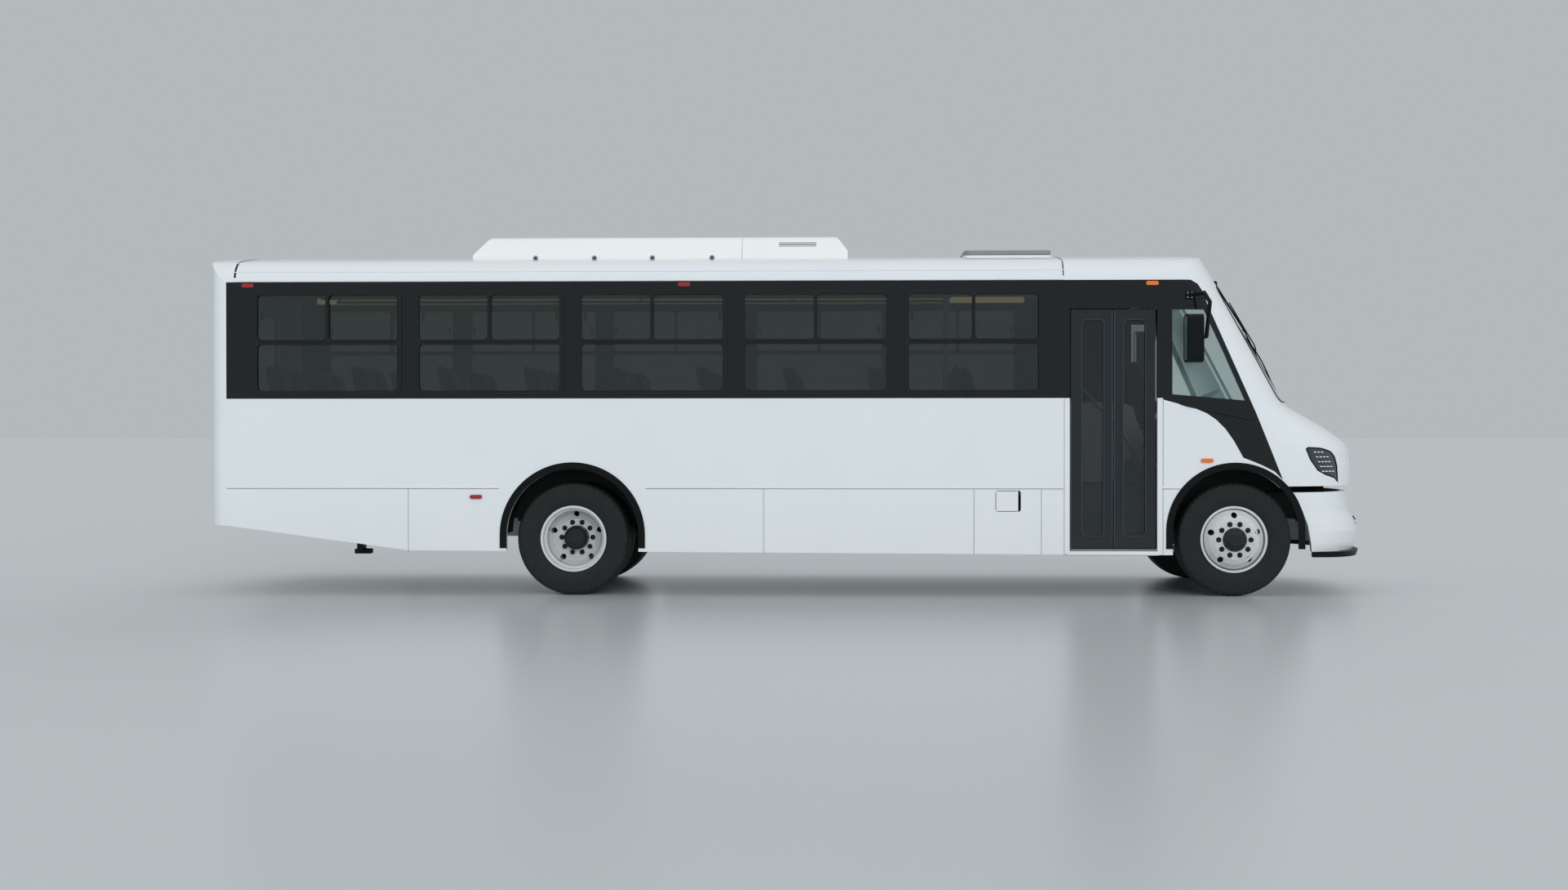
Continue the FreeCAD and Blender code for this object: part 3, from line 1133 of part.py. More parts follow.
def driver_seat():
    x = DRIVER_X + 60.0
    z = BOX_TOP + 25.0 + SEAT_GAP
    profile = [(x, z + 280.0), (x + 460.0, z + 300.0), (x + 470.0, z + 390.0), (x + 120.0, z + 370.0), (x - 10.0, z + 1000.0),
               (x - 90.0, z + 1000.0), (x - 40.0, z + 300.0)]
    seat = prism_y(profile, 390.0, 890.0, 25.0)
    base = block(x + 60.0, x + 380.0, 490.0, 790.0, z, z + 290.0)
    return seat.fuse(base)


def dashboard():
    x0, x1 = FX + 100.0, FX + 370.0 - SEAT_GAP
    z0 = BOX_TOP + 25.0 + SEAT_GAP
    body = prism_y([(x1 - 60.0, z0), (x1, z0), (x1, COWL_HEIGHT - 40.0), (x0 + 60.0, COWL_HEIGHT - 20.0), (x0, COWL_HEIGHT - 110.0),
                    (x0 + 120.0, COWL_HEIGHT - 280.0)], -HALF, HALF, [0, 0, 0, 40.0, 40.0, 40.0])
    inside = nose_form(CAP_SKIN + SEAT_GAP, CAP_SEAM - 5.0)
    return body.common(inside)


def steering_wheel():
    centre = V(FX + 10.0, 640.0, COWL_HEIGHT + 70.0)
    axis = V(-0.5, 0, 1.0)
    ring = Part.makeTorus(220.0, 15.0, centre, axis)
    column_end = V(FX + 60.0, 640.0, COWL_HEIGHT - 100.0)
    base = centre.sub(V(axis).normalize().multiply(410.0))
    column = tube_between(base, centre, 22.0)
    spoke = Part.makeBox(420.0, 26.0, 12.0)
    spoke.translate(V(-210.0, -13.0, -6.0))
    spoke.rotate(V(0, 0, 0), V(0, 1, 0), -math.degrees(math.atan2(0.5, 1.0)))
    spoke.translate(centre)
    cross = Part.makeBox(26.0, 420.0, 12.0)
    cross.translate(V(-13.0, -210.0, -6.0))
    cross.rotate(V(0, 0, 0), V(0, 1, 0), -math.degrees(math.atan2(0.5, 1.0)))
    cross.translate(centre)
    return fuse_all([ring, column, spoke, cross]).cut(dashboard())


def handrails():
    inner = roof_prism(WALL + SEAT_GAP, FLOOR_HEIGHT + SEAT_GAP, REAR_SEAM, ROOF_SEAM)
    shapes = []
    x0, x1 = REAR_SEAM + 600.0, DOOR_REAR - 1000.0
    for side in (-1, 1):
        y = side * 290.0
        rail = Part.makeCylinder(16.0, x1 - x0, V(x0, y, CANT_HEIGHT - 80.0), V(1, 0, 0))
        parts = [rail]
        for i in range(5):
            x = x0 + 30.0 + i * (x1 - x0 - 60.0) / 4
            parts.append(Part.makeCylinder(16.0, CROWN_HEIGHT - CANT_HEIGHT + 100.0, V(x, y, CANT_HEIGHT - 80.0)))
        parts.append(Part.makeCylinder(16.0, CROWN_HEIGHT - FLOOR_HEIGHT, V(x1 - 30.0, y, FLOOR_HEIGHT)))
        shapes.append(fuse_all(parts).common(inner))
    return shapes


AC_X0 = RX - 953.0
AC_X1 = RX + 2466.0
AC_SPLIT = RX + 1506.0
AC_TOP = 3249.0
AC_HALF = 930.0


def ac_unit():
    side_form = prism_y([(AC_X0, CANT_HEIGHT), (AC_X1, CANT_HEIGHT), (AC_X1, CROWN_HEIGHT + 12.0), (AC_X1 - 100.0, AC_TOP), (AC_X0 + 150.0, AC_TOP),
                         (AC_X0, CROWN_HEIGHT - 20.0)], -HALF, HALF, [0, 0, 20.0, 70.0, 90.0, 30.0])
    cross = prism_x([(-AC_HALF, CANT_HEIGHT), (AC_HALF, CANT_HEIGHT), (AC_HALF, CROWN_HEIGHT - 20.0), (AC_HALF - 110.0, AC_TOP),
                     (-AC_HALF + 110.0, AC_TOP), (-AC_HALF, CROWN_HEIGHT - 20.0)], AC_X0 - 5.0, AC_X1 + 5.0, [0, 0, 60.0, 90.0, 90.0, 60.0])
    body = side_form.common(cross).cut(roof_prism(-SEAT_GAP, 0.0, AC_X0 - 50.0, AC_X1 + 50.0))
    seam = block(AC_SPLIT - 1.5, AC_SPLIT + 1.5, -HALF, HALF, 0.0, AC_TOP + 50.0)
    return body.cut(seam)


def ac_guard():
    z = AC_TOP + SEAT_GAP
    return prism_z([(AC_X1 - 620.0, -420.0), (AC_X1 - 160.0, -420.0), (AC_X1 - 160.0, 420.0), (AC_X1 - 620.0, 420.0)], z, z + 35.0, 60.0)


def lamp_pill(x, z, side, length=110.0):
    y0, y1 = side * (HALF + SEAT_GAP), side * (HALF + 18.0)
    return prism_y(rect(x - length / 2, x + length / 2, z - 18.0, z + 18.0), y0, y1, 16.0)


RED_LAMPS = ((RX - 2925.0, CANT_HEIGHT - 30.0), (RX + 1006.0, CANT_HEIGHT - 30.0), (RX - 865.0, FLOOR_HEIGHT - 75.0))
AMBER_LAMPS = ((FX - 737.0, CANT_HEIGHT - 30.0), (FX - 252.0, FLOOR_HEIGHT + 250.0))


def marker_lamps(stations):
    shapes = []
    for x, z in stations:
        for side in (-1, 1):
            shapes.append(lamp_pill(x, z, side))
    return shapes


def mirrors():
    head = prism_x([(-HALF - 330.0, 2073.0), (-HALF - 120.0, 2073.0), (-HALF - 120.0, 2494.0), (-HALF - 330.0, 2494.0)], FX - 478.0, FX - 338.0, 60.0)
    base = block(FX - 440.0, FX - 380.0, -HALF - 25.0, -HALF - SEAT_GAP, 2640.0, 2710.0)
    y_arm = -HALF - 225.0
    arm = [V(FX - 410.0, -HALF - 10.0, 2675.0), V(FX - 300.0, -HALF - 120.0, 2690.0), V(FX - 270.0, y_arm, 2600.0), V(FX - 300.0, y_arm, 2300.0),
           V(FX - 350.0, y_arm, 2290.0)]
    parts = [head, base]
    for a, b in zip(arm[:-1], arm[1:]):
        parts.append(tube_between(a, b, 18.0))
        parts.append(Part.makeSphere(18.0, b))
    arm_and_head = fuse_all(parts).cut(block(FX - 600.0, FX, -HALF - SEAT_GAP, 0.0, 2000.0, 3000.0))
    return both_sides(arm_and_head)


def wipers():
    shapes = []
    for y in (-520.0, 520.0):
        z_top, z_mid, z_end = CANT_HEIGHT + 20.0, 2405.0, 2120.0
        points = []
        for z, lift in ((z_top, 30.0), (z_mid, 45.0), (z_end, 12.0)):
            x = SCREEN_BASE - SCREEN_SLOPE * (z - COWL_HEIGHT) - 40.0 + lift
            points.append(V(x, y, z))
        parts = [tube_between(points[0], points[1], 9.0), tube_between(points[1], points[2], 7.0), Part.makeSphere(16.0, points[1]),
                 Part.makeSphere(24.0, points[0]), tube_between(points[0], points[0].add(V(-60.0, 0, -10.0)), 16.0)]
        shapes.append(fuse_all(parts).cut(roof_front_form(-SEAT_GAP).common(cab_form(-SEAT_GAP))))
    return shapes


def build():
    os.makedirs("parts", exist_ok=True)
    shell = front_shell()
    save("floor", [floor_slab(), deck()])
    save("step_well", step_well())
    save("chassis_frame", chassis_frame())
    save("side_walls", [side_wall(-1), side_wall(1)])
    save("window_bands", [window_band(-1), window_band(1)])
    save("window_frames", window_frames(-1) + window_frames(1))
    save("window_panes", window_panes(-1) + window_panes(1) + [rear_window()])
    save("roof", [roof_shell(), hatch_rim()])
    save("roof_front", roof_front())
    save("rear_cap", rear_cap())
    save("rear_bumper", rear_bumper())
    save("red_lamps", tail_lamps() + marker_lamps(RED_LAMPS))
    save("front_cap", front_cap(shell))
    save("cab_mask", cab_mask(shell))
    save("cab_glass", cab_glass())
    save("windscreen", windscreen())
    save("bonnet", bonnet(shell))
    save("headlamps", headlamps())
    save("grille", grille())
    save("front_bumper", front_bumper())
    save("bumper_lip", bumper_lip())
    save("arch_trims", arch_trims())
    save("wheel_boxes", wheel_boxes())
    save("roof_hatch", roof_hatch())
    save("ac_unit", ac_unit())
    save("ac_guard", ac_guard())
    save("fuel_flap", fuel_flap())
    save("fuel_tank", fuel_tank())
    save("seats", seat_benches() + [driver_seat()])
    save("dashboard", dashboard())
    save("steering_wheel", steering_wheel())
    save("handrails", handrails())
    save("engine", [engine(), radiator()])
    save("prop_shaft", prop_shaft())
    save("front_axle", front_axle())
    save("rear_axle", rear_axle())
    save("springs", leaf_spring(FX, BEAM_HALF) + leaf_spring(RX, 62.0))
    save("amber_lamps", marker_lamps(AMBER_LAMPS))
    save("mirrors", mirrors())
    save("wipers", wipers())
    save("tie_rod", tie_rod())
    for (x0, x1, pin), name in zip(leaf_spans(), ("rear", "front")):
        save("door_leaf_" + name, door_leaf(x0, x1, pin))
        save("door_glass_" + name, leaf_glass(x0, x1))
    for name, side in SIDES:
        save("knuckle_" + name, knuckle(side))
        save("tyre_front_" + name, tyre(FX, side * WHEEL_Y))
        save("wheel_front_" + name, [wheel(FX, side * WHEEL_Y, side), hub(FX, side * WHEEL_Y, side)] + studs(FX, side * WHEEL_Y, side))
        inner_y = WHEEL_Y - DUAL_SPACING
        save("tyres_rear_" + name, [tyre(RX, side * WHEEL_Y), tyre(RX, side * inner_y)])
        save("wheels_rear_" + name, [wheel(RX, side * WHEEL_Y, -side), wheel(RX, side * inner_y, side), rear_hub(side)])


build()
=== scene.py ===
"""City bus: finishes, fittings, seats and the studio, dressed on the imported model."""
import json
import logging
import math
from dataclasses import dataclass, field
from enum import Enum
from typing import Any, Callable, Dict, List, Optional, Sequence, Tuple, Union

import bmesh
import bpy
import numpy as np
from mathutils import Euler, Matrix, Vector
from mathutils.bvhtree import BVHTree


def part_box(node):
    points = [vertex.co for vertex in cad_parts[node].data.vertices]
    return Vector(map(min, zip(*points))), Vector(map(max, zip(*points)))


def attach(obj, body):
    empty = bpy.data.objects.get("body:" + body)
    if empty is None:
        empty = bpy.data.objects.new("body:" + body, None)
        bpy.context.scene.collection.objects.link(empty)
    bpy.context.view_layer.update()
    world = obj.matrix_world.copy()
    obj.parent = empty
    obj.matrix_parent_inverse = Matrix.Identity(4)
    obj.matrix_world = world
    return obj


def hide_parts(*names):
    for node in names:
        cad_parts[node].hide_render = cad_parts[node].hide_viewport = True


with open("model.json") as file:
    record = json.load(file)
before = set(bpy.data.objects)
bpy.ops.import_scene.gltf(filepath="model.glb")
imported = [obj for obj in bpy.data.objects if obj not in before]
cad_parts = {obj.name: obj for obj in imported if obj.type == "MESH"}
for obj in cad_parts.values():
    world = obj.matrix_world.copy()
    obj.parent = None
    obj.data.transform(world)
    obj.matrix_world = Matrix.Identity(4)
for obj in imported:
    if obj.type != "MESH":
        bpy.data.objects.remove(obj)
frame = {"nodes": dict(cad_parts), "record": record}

log = logging.getLogger("city_bus")

Array = np.ndarray
Numbers = Union[float, Array]
Rows = Tuple[Tuple[float, ...], ...]
Pair = Tuple[float, float]
Triple = Tuple[float, float, float]
Shape = Tuple[Array, Array]
Colour = Tuple[float, float, float, float]
Tree = bpy.types.NodeTree
Socket = bpy.types.NodeSocket

MM_PER_M = 1000.0
# Radians that a wave texture's straight bands turn by in a metre at a scale of one.
WAVE_RADIANS = 20.0


def srgb(code: str) -> Colour:
    """Turn an sRGB hex code into a linear colour.

    Args:
        code: six hex digits with a leading hash.

    Returns:
        Linear red, green, blue and an alpha of one.
    """
    parts = [int(code[i:i + 2], 16) / 255 for i in (1, 3, 5)]
    linear = [c / 12.92 if c <= 0.04045 else ((c + 0.055) / 1.055) ** 2.4 for c in parts]
    return (linear[0], linear[1], linear[2], 1.0)


def add_node(tree: Tree, kind: str, values: Optional[Dict[Any, Any]] = None,
             links: Optional[Dict[Any, Socket]] = None, **settings: Any) -> bpy.types.Node:
    """Add one shader node with its settings, constants and incoming links.

    Args:
        tree: node tree that takes the node.
        kind: node type, such as ShaderNodeTexNoise.
        values: constants for input sockets, by name or index.
        links: output sockets to feed into input sockets, by name or index.
        settings: node attributes to set first.

    Returns:
        The new node.
    """
    node = tree.nodes.new(kind)
    for key, value in settings.items():
        setattr(node, key, value)
    for key, value in (values or {}).items():
        node.inputs[key].default_value = value
    for key, socket in (links or {}).items():
        tree.links.new(socket, node.inputs[key])
    return node


def per_metre(size_mm: float) -> float:
    """Scale of a noise on Object coordinates whose features are about size_mm across."""
    return MM_PER_M / size_mm


def waves_per_metre(radian_mm: float) -> float:
    """Scale of a wave texture that turns by one radian every radian_mm, across straight X or Z bands."""
    return per_metre(radian_mm) / WAVE_RADIANS


@dataclass(frozen=True)
class Finish:
    """One real surface: its colours, gloss and grain.

    The colour drifts between two tones over mottle_mm, the gloss drifts with it, and a bump of
    grain_mm and grain_depth_mm gives the surface its texture.
    """
    name: str
    colour: str
    second: str
    roughness: float
    roughness_drift: float = 0.05
    metallic: float = 0.0
    mottle_mm: float = 300.0
    gloss_share: float = 0.4
    grain_mm: float = 2.0
    grain_depth_mm: float = 0.05
    specular: float = 0.5
    glow: float = 0.0

    def shader_values(self) -> Dict[str, Any]:
        """Constants set straight on the shader's own sockets."""
        return {"Metallic": self.metallic, "Specular IOR Level": self.specular,
                "Emission Color": srgb(self.colour), "Emission Strength": self.glow}

    def colour_socket(self, tree: Tree, where: Socket) -> Socket:
        """Two tones mixed by a soft noise of mottle_mm.

        Args:
            tree: node tree that takes the nodes.
            where: coordinates of the pattern.

        Returns:
            The colour's socket.
        """
        drift = add_node(tree, "ShaderNodeTexNoise", {"Scale": per_metre(self.mottle_mm), "Detail": 4.0},
                         {"Vector": where})
        mix = add_node(tree, "ShaderNodeMix", {"A": srgb(self.colour), "B": srgb(self.second)},
                       {"Factor": drift.outputs["Fac"]}, data_type="RGBA")
        return mix.outputs["Result"]

    def roughness_socket(self, tree: Tree, where: Socket) -> Socket:
        """Roughness that drifts a little across the surface, faster than the colour does.

        Args:
            tree: node tree that takes the nodes.
            where: coordinates of the pattern.

        Returns:
            The roughness's socket.
        """
        size = self.mottle_mm * self.gloss_share
        drift = add_node(tree, "ShaderNodeTexNoise", {"Scale": per_metre(size), "Detail": 3.0},
                         {"Vector": where})
        ranged = add_node(tree, "ShaderNodeMapRange",
                          {"To Min": max(0.0, self.roughness - self.roughness_drift),
                           "To Max": min(1.0, self.roughness + self.roughness_drift)},
                          {"Value": drift.outputs["Fac"]})
        return ranged.outputs["Result"]

    def normal_socket(self, tree: Tree, where: Socket) -> Optional[Socket]:
        """A fine grain as a bump.

        Args:
            tree: node tree that takes the nodes.
            where: coordinates of the pattern.

        Returns:
            The normal's socket, or None for a smooth surface.
        """
        if self.grain_depth_mm <= 0:
            return None
        grain = add_node(tree, "ShaderNodeTexNoise", {"Scale": per_metre(self.grain_mm), "Detail": 2.0},
                         {"Vector": where})
        bump = add_node(tree, "ShaderNodeBump", {"Strength": 1.0, "Distance": self.grain_depth_mm / MM_PER_M},
                        {"Height": grain.outputs["Fac"]})
        return bump.outputs["Normal"]

    def build(self) -> bpy.types.Material:
        """Make the material once, or give the one that is already made.

        Returns:
            The Blender material of this finish.
        """
        known = bpy.data.materials.get(self.name)
        if known is not None:
            return known
        material = bpy.data.materials.new(self.name)
        material.use_nodes = True
        tree = material.node_tree
        tree.nodes.clear()
        where = add_node(tree, "ShaderNodeTexCoord").outputs["Object"]
        shader = add_node(tree, "ShaderNodeBsdfPrincipled", self.shader_values(),
                          {"Base Color": self.colour_socket(tree, where),
                           "Roughness": self.roughness_socket(tree, where)})
        normal = self.normal_socket(tree, where)
        if normal is not None:
            tree.links.new(normal, shader.inputs["Normal"])
        add_node(tree, "ShaderNodeOutputMaterial", links={"Surface": shader.outputs["BSDF"]})
        return material


@dataclass(frozen=True)
class GlossPaint(Finish):
    """Two-pack body enamel under a clear coat.

    A clear gloss over a slightly wavy panel: reflections wobble softly, as they do on hand-filled
    bodywork, and a film of road dust gathers towards the skirt.
    """
    coat: float = 0.6
    coat_roughness: float = 0.06
    panel_wave_mm: float = 520.0
    panel_depth_mm: float = 0.5
    dust: str = "#B9B4A8"
    dust_foot_m: float = 0.3
    dust_height_m: float = 0.95
    dust_share: float = 0.16
    dust_fleck_mm: float = 60.0

    def shader_values(self) -> Dict[str, Any]:
        """Clear coat over the colour."""
        return {"Metallic": self.metallic, "Coat Weight": self.coat, "Coat Roughness": self.coat_roughness,
                "IOR": 1.5, "Specular IOR Level": self.specular}

    def colour_socket(self, tree: Tree, where: Socket) -> Socket:
        """Enamel tone, with dust that thins out from the skirt up to dust_height_m.

        Args:
            tree: node tree that takes the nodes.
            where: coordinates of the pattern.

        Returns:
            The colour's socket.
        """
        base = super().colour_socket(tree, where)
        split = add_node(tree, "ShaderNodeSeparateXYZ", links={"Vector": where})
        low = add_node(tree, "ShaderNodeMapRange",
                       {"From Min": self.dust_foot_m, "From Max": self.dust_height_m,
                        "To Min": self.dust_share, "To Max": 0.0},
                       {"Value": split.outputs["Z"]})
        specks = add_node(tree, "ShaderNodeTexNoise",
                          {"Scale": per_metre(self.dust_fleck_mm), "Detail": 6.0, "Roughness": 0.7},
                          {"Vector": where})
        amount = add_node(tree, "ShaderNodeMath", links={0: low.outputs["Result"], 1: specks.outputs["Fac"]},
                          operation="MULTIPLY")
        mix = add_node(tree, "ShaderNodeMix", {"B": srgb(self.dust)},
                       {"A": base, "Factor": amount.outputs["Value"]}, data_type="RGBA")
        return mix.outputs["Result"]

    def normal_socket(self, tree: Tree, where: Socket) -> Optional[Socket]:
        """Orange peel of grain_mm on top of long panel waves.

        Args:
            tree: node tree that takes the nodes.
            where: coordinates of the pattern.

        Returns:
            The normal's socket.
        """
        wave = add_node(tree, "ShaderNodeTexNoise", {"Scale": per_metre(self.panel_wave_mm), "Detail": 1.0},
                        {"Vector": where})
        long_bump = add_node(tree, "ShaderNodeBump", {"Distance": self.panel_depth_mm / MM_PER_M},
                             {"Height": wave.outputs["Fac"]})
        peel = add_node(tree, "ShaderNodeTexNoise", {"Scale": per_metre(self.grain_mm), "Detail": 1.0},
                        {"Vector": where})
        bump = add_node(tree, "ShaderNodeBump", {"Distance": self.grain_depth_mm / MM_PER_M},
                        {"Height": peel.outputs["Fac"], "Normal": long_bump.outputs["Normal"]})
        return bump.outputs["Normal"]


@dataclass(frozen=True)
class Pane(Finish):
    """Toughened body-tinted glass: dark from outside, with what is behind it still seen.

    The tint is the share of light that the pane holds back, and a faint film of wiped dust
    keeps its gloss from being perfect. Float glass is flat, so it has no grain.
    """
    grain_depth_mm: float = 0.0
    hold_back: float = 0.6
    ior: float = 1.52

    def shader_values(self) -> Dict[str, Any]:
        """See-through share and glass gloss."""
        return {"Metallic": 0.0, "Alpha": self.hold_back, "IOR": self.ior, "Specular IOR Level": 0.8}


@dataclass(frozen=True)
class LampLens(Finish):
    """Moulded acrylic lamp lens: broad ribs under a clear face.

    The ribs slant, because their wave runs along X, Y and Z alike and turns by half as much along
    each. So a crest comes every 4 pi times rib_radian_mm along the bus, which is about 88 mm.
    """
    rib_radian_mm: float = 7.0
    rib_depth_mm: float = 0.5

    def shader_values(self) -> Dict[str, Any]:
        """A glossy face with a little light carried inside the plastic."""
        return {"Metallic": 0.0, "IOR": 1.49, "Coat Weight": 0.8, "Coat Roughness": 0.04,
                "Subsurface Weight": 0.15, "Subsurface Scale": 0.004}

    def normal_socket(self, tree: Tree, where: Socket) -> Optional[Socket]:
        """Slanting ribs as a bump.

        Args:
            tree: node tree that takes the nodes.
            where: coordinates of the pattern.

        Returns:
            The normal's socket.
        """
        ribs = add_node(tree, "ShaderNodeTexWave", {"Scale": waves_per_metre(self.rib_radian_mm)},
                        {"Vector": where}, bands_direction="DIAGONAL")
        bump = add_node(tree, "ShaderNodeBump", {"Distance": self.rib_depth_mm / MM_PER_M},
                        {"Height": ribs.outputs["Fac"]})
        return bump.outputs["Normal"]


@dataclass(frozen=True)
class WovenCloth(Finish):
    """Flat-woven moquette seat cloth: a soft pile with a sheen at its edges and a dot weave.

    A dot comes every 2 pi times weave_radian_mm, about 31 mm, drawn far coarser than real thread so
    that it shows through the windows.
    """
    weave_radian_mm: float = 5.0
    weave_depth_mm: float = 0.5

    def shader_values(self) -> Dict[str, Any]:
        """Soft fibre sheen."""
        return {"Metallic": 0.0, "Sheen Weight": 0.4, "Sheen Roughness": 0.5, "Specular IOR Level": 0.2}

    def normal_socket(self, tree: Tree, where: Socket) -> Optional[Socket]:
        """Two crossed waves as a bump.

        Args:
            tree: node tree that takes the nodes.
            where: coordinates of the pattern.

        Returns:
            The normal's socket.
        """
        waves = [add_node(tree, "ShaderNodeTexWave", {"Scale": waves_per_metre(self.weave_radian_mm)},
                          {"Vector": where}, bands_direction=direction) for direction in ("X", "Z")]
        weave = add_node(tree, "ShaderNodeMath", operation="MULTIPLY",
                         links={k: wave.outputs["Fac"] for k, wave in enumerate(waves)})
        bump = add_node(tree, "ShaderNodeBump", {"Distance": self.weave_depth_mm / MM_PER_M},
                        {"Height": weave.outputs["Value"]})
        return bump.outputs["Normal"]


# Sprayed two-pack enamel: an even white with soft, slightly wavy reflections.
WHITE_ENAMEL = GlossPaint("white_two_pack_enamel", "#E4E9EC", "#DEE4E8", 0.32, 0.04, mottle_mm=900.0,
                          grain_mm=2.6, grain_depth_mm=0.012)
# The same enamel in black: clear reflections and little colour of its own.
BLACK_ENAMEL = GlossPaint("black_gloss_enamel", "#0B1114", "#080D10", 0.14, 0.04, mottle_mm=700.0,
                          grain_mm=2.6, grain_depth_mm=0.01, dust="#4A4A46", coat=0.22, dust_share=0.05,
                          specular=0.35)
# Gelcoat of a fibreglass moulding: whiter and wavier than the sprayed panels.
GELCOAT = GlossPaint("white_gelcoat_moulding", "#F1F4F2", "#EAEEED", 0.3, 0.05, mottle_mm=500.0,
                     grain_mm=3.5, grain_depth_mm=0.02, panel_depth_mm=0.9, dust_share=0.0)
# Powder coat on aluminium: a dull sheen over a fine pebble.
DOOR_PAINT = GlossPaint("dark_door_powder_coat", "#151C22", "#11171C", 0.38, 0.05, mottle_mm=250.0,
                        grain_mm=1.5, grain_depth_mm=0.02, coat=0.1, dust="#5A5853", dust_share=0.12)
# Wheel enamel: off-white, greyed by brake and road dust.
WHEEL_ENAMEL = GlossPaint("white_wheel_enamel", "#D5D9DA", "#C6CCCE", 0.3, 0.06, mottle_mm=120.0,
                          grain_mm=2.0, grain_depth_mm=0.03, panel_depth_mm=0.0, dust="#7B776F",
                          dust_height_m=0.8, dust_share=0.35)
# Brushed chassis paint: flat black, uneven with grime.
CHASSIS_PAINT = Finish("chassis_black_paint", "#17191A", "#242524", 0.6, 0.12, mottle_mm=140.0, grain_mm=4.0,
                       grain_depth_mm=0.15)
# Moulded ABS with a fine grain: broad, soft highlights.
MOULDED_BLACK = Finish("grained_black_abs", "#0B0F11", "#080B0D", 0.5, 0.06, mottle_mm=220.0, grain_mm=1.4,
                       grain_depth_mm=0.06, specular=0.22)
# Extruded EPDM rubber: dark, with a faint satin line.
GASKET_RUBBER = Finish("epdm_window_rubber", "#13181A", "#0E1214", 0.5, 0.08, mottle_mm=180.0, grain_mm=1.0,
                       grain_depth_mm=0.03)
# Vulcanised rubber: charcoal with no clear highlight.
TYRE_RUBBER = Finish("road_tyre_rubber", "#141819", "#1B1E1F", 0.62, 0.1, mottle_mm=90.0, grain_mm=1.6,
                     grain_depth_mm=0.1)
# Moulded plastic, weathered: an even mid grey.
GREY_PLASTIC = Finish("grey_hatch_plastic", "#8C9292", "#7F8585", 0.45, 0.06, mottle_mm=200.0, grain_mm=1.6,
                      grain_depth_mm=0.04)
# Sand-cast iron: rough and brown-grey, with a dull gleam.
CAST_IRON = Finish("sand_cast_iron", "#2B2B2A", "#3A3631", 0.7, 0.1, metallic=0.5, mottle_mm=60.0,
                   grain_mm=1.5, grain_depth_mm=0.35)
# Rolled and anodised aluminium: bright metal broken up by its texture.
CHEQUER_STEP = Finish("anodised_step_aluminium", "#A6ABAC", "#8F9596", 0.42, 0.1, metallic=0.8,
                      mottle_mm=160.0, grain_mm=6.0, grain_depth_mm=0.3)
# Rolled vinyl with flecks: speckled grey, nearly matt.
FLOOR_VINYL = Finish("flecked_safety_vinyl", "#5B6064", "#484D51", 0.55, 0.08, mottle_mm=8.0, grain_mm=1.5,
                     grain_depth_mm=0.1)
# Stainless tube: bright metal, its reflections softened by brushing.
RAIL_STEEL = Finish("brushed_stainless_rail", "#C3C6C6", "#B2B6B7", 0.26, 0.06, metallic=1.0, mottle_mm=200.0,
                    grain_mm=1.2, grain_depth_mm=0.01)
# Woven moquette: deep blue-grey that lightens towards its edges.
SEAT_CLOTH = WovenCloth("blue_grey_moquette", "#2B3344", "#333D52", 0.85, 0.05, mottle_mm=40.0)
# Glass tinted in the melt: dark green-grey, with the saloon just seen through it.
TINTED_PANE = Pane("green_tinted_window", "#1A2323", "#1D2727", 0.05, 0.02, mottle_mm=400.0, hold_back=0.62)
# The door's glass: clearer, so that the step shows behind it.
DOOR_PANE = Pane("door_window_glass", "#141C1E", "#172022", 0.05, 0.02, mottle_mm=400.0, hold_back=0.5)
# Lightly tinted cab glass: the cab shows clearly, with a green cast.
CAB_PANE = Pane("clear_cab_glass", "#7FA3A0", "#86AAA6", 0.05, 0.02, mottle_mm=400.0, hold_back=0.2)
# Moulded acrylic: a full colour that seems lit a little from inside.
RED_LENS = LampLens("red_acrylic_lens", "#A3101C", "#8C0D17", 0.18, 0.04, mottle_mm=40.0)
AMBER_LENS = LampLens("amber_acrylic_lens", "#F07A12", "#E06A0C", 0.18, 0.04, mottle_mm=40.0)
# A smoked bowl under a clear face: dark, with a wet gloss.
SMOKED_LENS = LampLens("smoked_lamp_bowl", "#20282D", "#2B353B", 0.15, 0.05, mottle_mm=60.0)
# Phosphated steel: dark grey metal with a dull gleam.
WHEEL_NUT_STEEL = Finish("phosphated_nut_steel", "#34383A", "#24282A", 0.38, 0.1, metallic=0.75,
                         mottle_mm=12.0, grain_mm=0.8, grain_depth_mm=0.05)
# Enamel baked on a cast hub: black with a satin gloss.
HUB_BLACK = Finish("baked_hub_enamel", "#101416", "#171B1C", 0.3, 0.08, mottle_mm=40.0, grain_mm=2.0,
                   grain_depth_mm=0.05)
# Black-anodised aluminium: a dark satin line.
FRAME_ALUMINIUM = Finish("black_anodised_rail", "#0E1315", "#151A1C", 0.32, 0.05, metallic=0.3,
                         mottle_mm=300.0, grain_mm=0.8, grain_depth_mm=0.01)
# Powder-coated tube: an even mid grey satin.
SEAT_FRAME = Finish("grey_powder_coated_tube", "#5C6268", "#52585E", 0.45, 0.06, metallic=0.2,
                    mottle_mm=120.0, grain_mm=1.0, grain_depth_mm=0.03)
# Moulded polypropylene: dark grey, waxy and even.
SEAT_SHELL = Finish("moulded_grey_polypropylene", "#3A4048", "#343A42", 0.5, 0.06, mottle_mm=150.0,
                    grain_mm=1.2, grain_depth_mm=0.05)
# Anodised bead: a thin line, paler than the door.
DOOR_BEAD = Finish("dark_anodised_bead", "#3B454B", "#333D43", 0.4, 0.06, metallic=0.2, mottle_mm=200.0,
                   grain_mm=0.8, grain_depth_mm=0.02)
# Silvered float glass: a clear mirror.
MIRROR_GLASS = Finish("silvered_mirror_glass", "#DDE3E5", "#D6DDE0", 0.04, 0.02, metallic=1.0,
                      mottle_mm=200.0, grain_depth_mm=0.0)
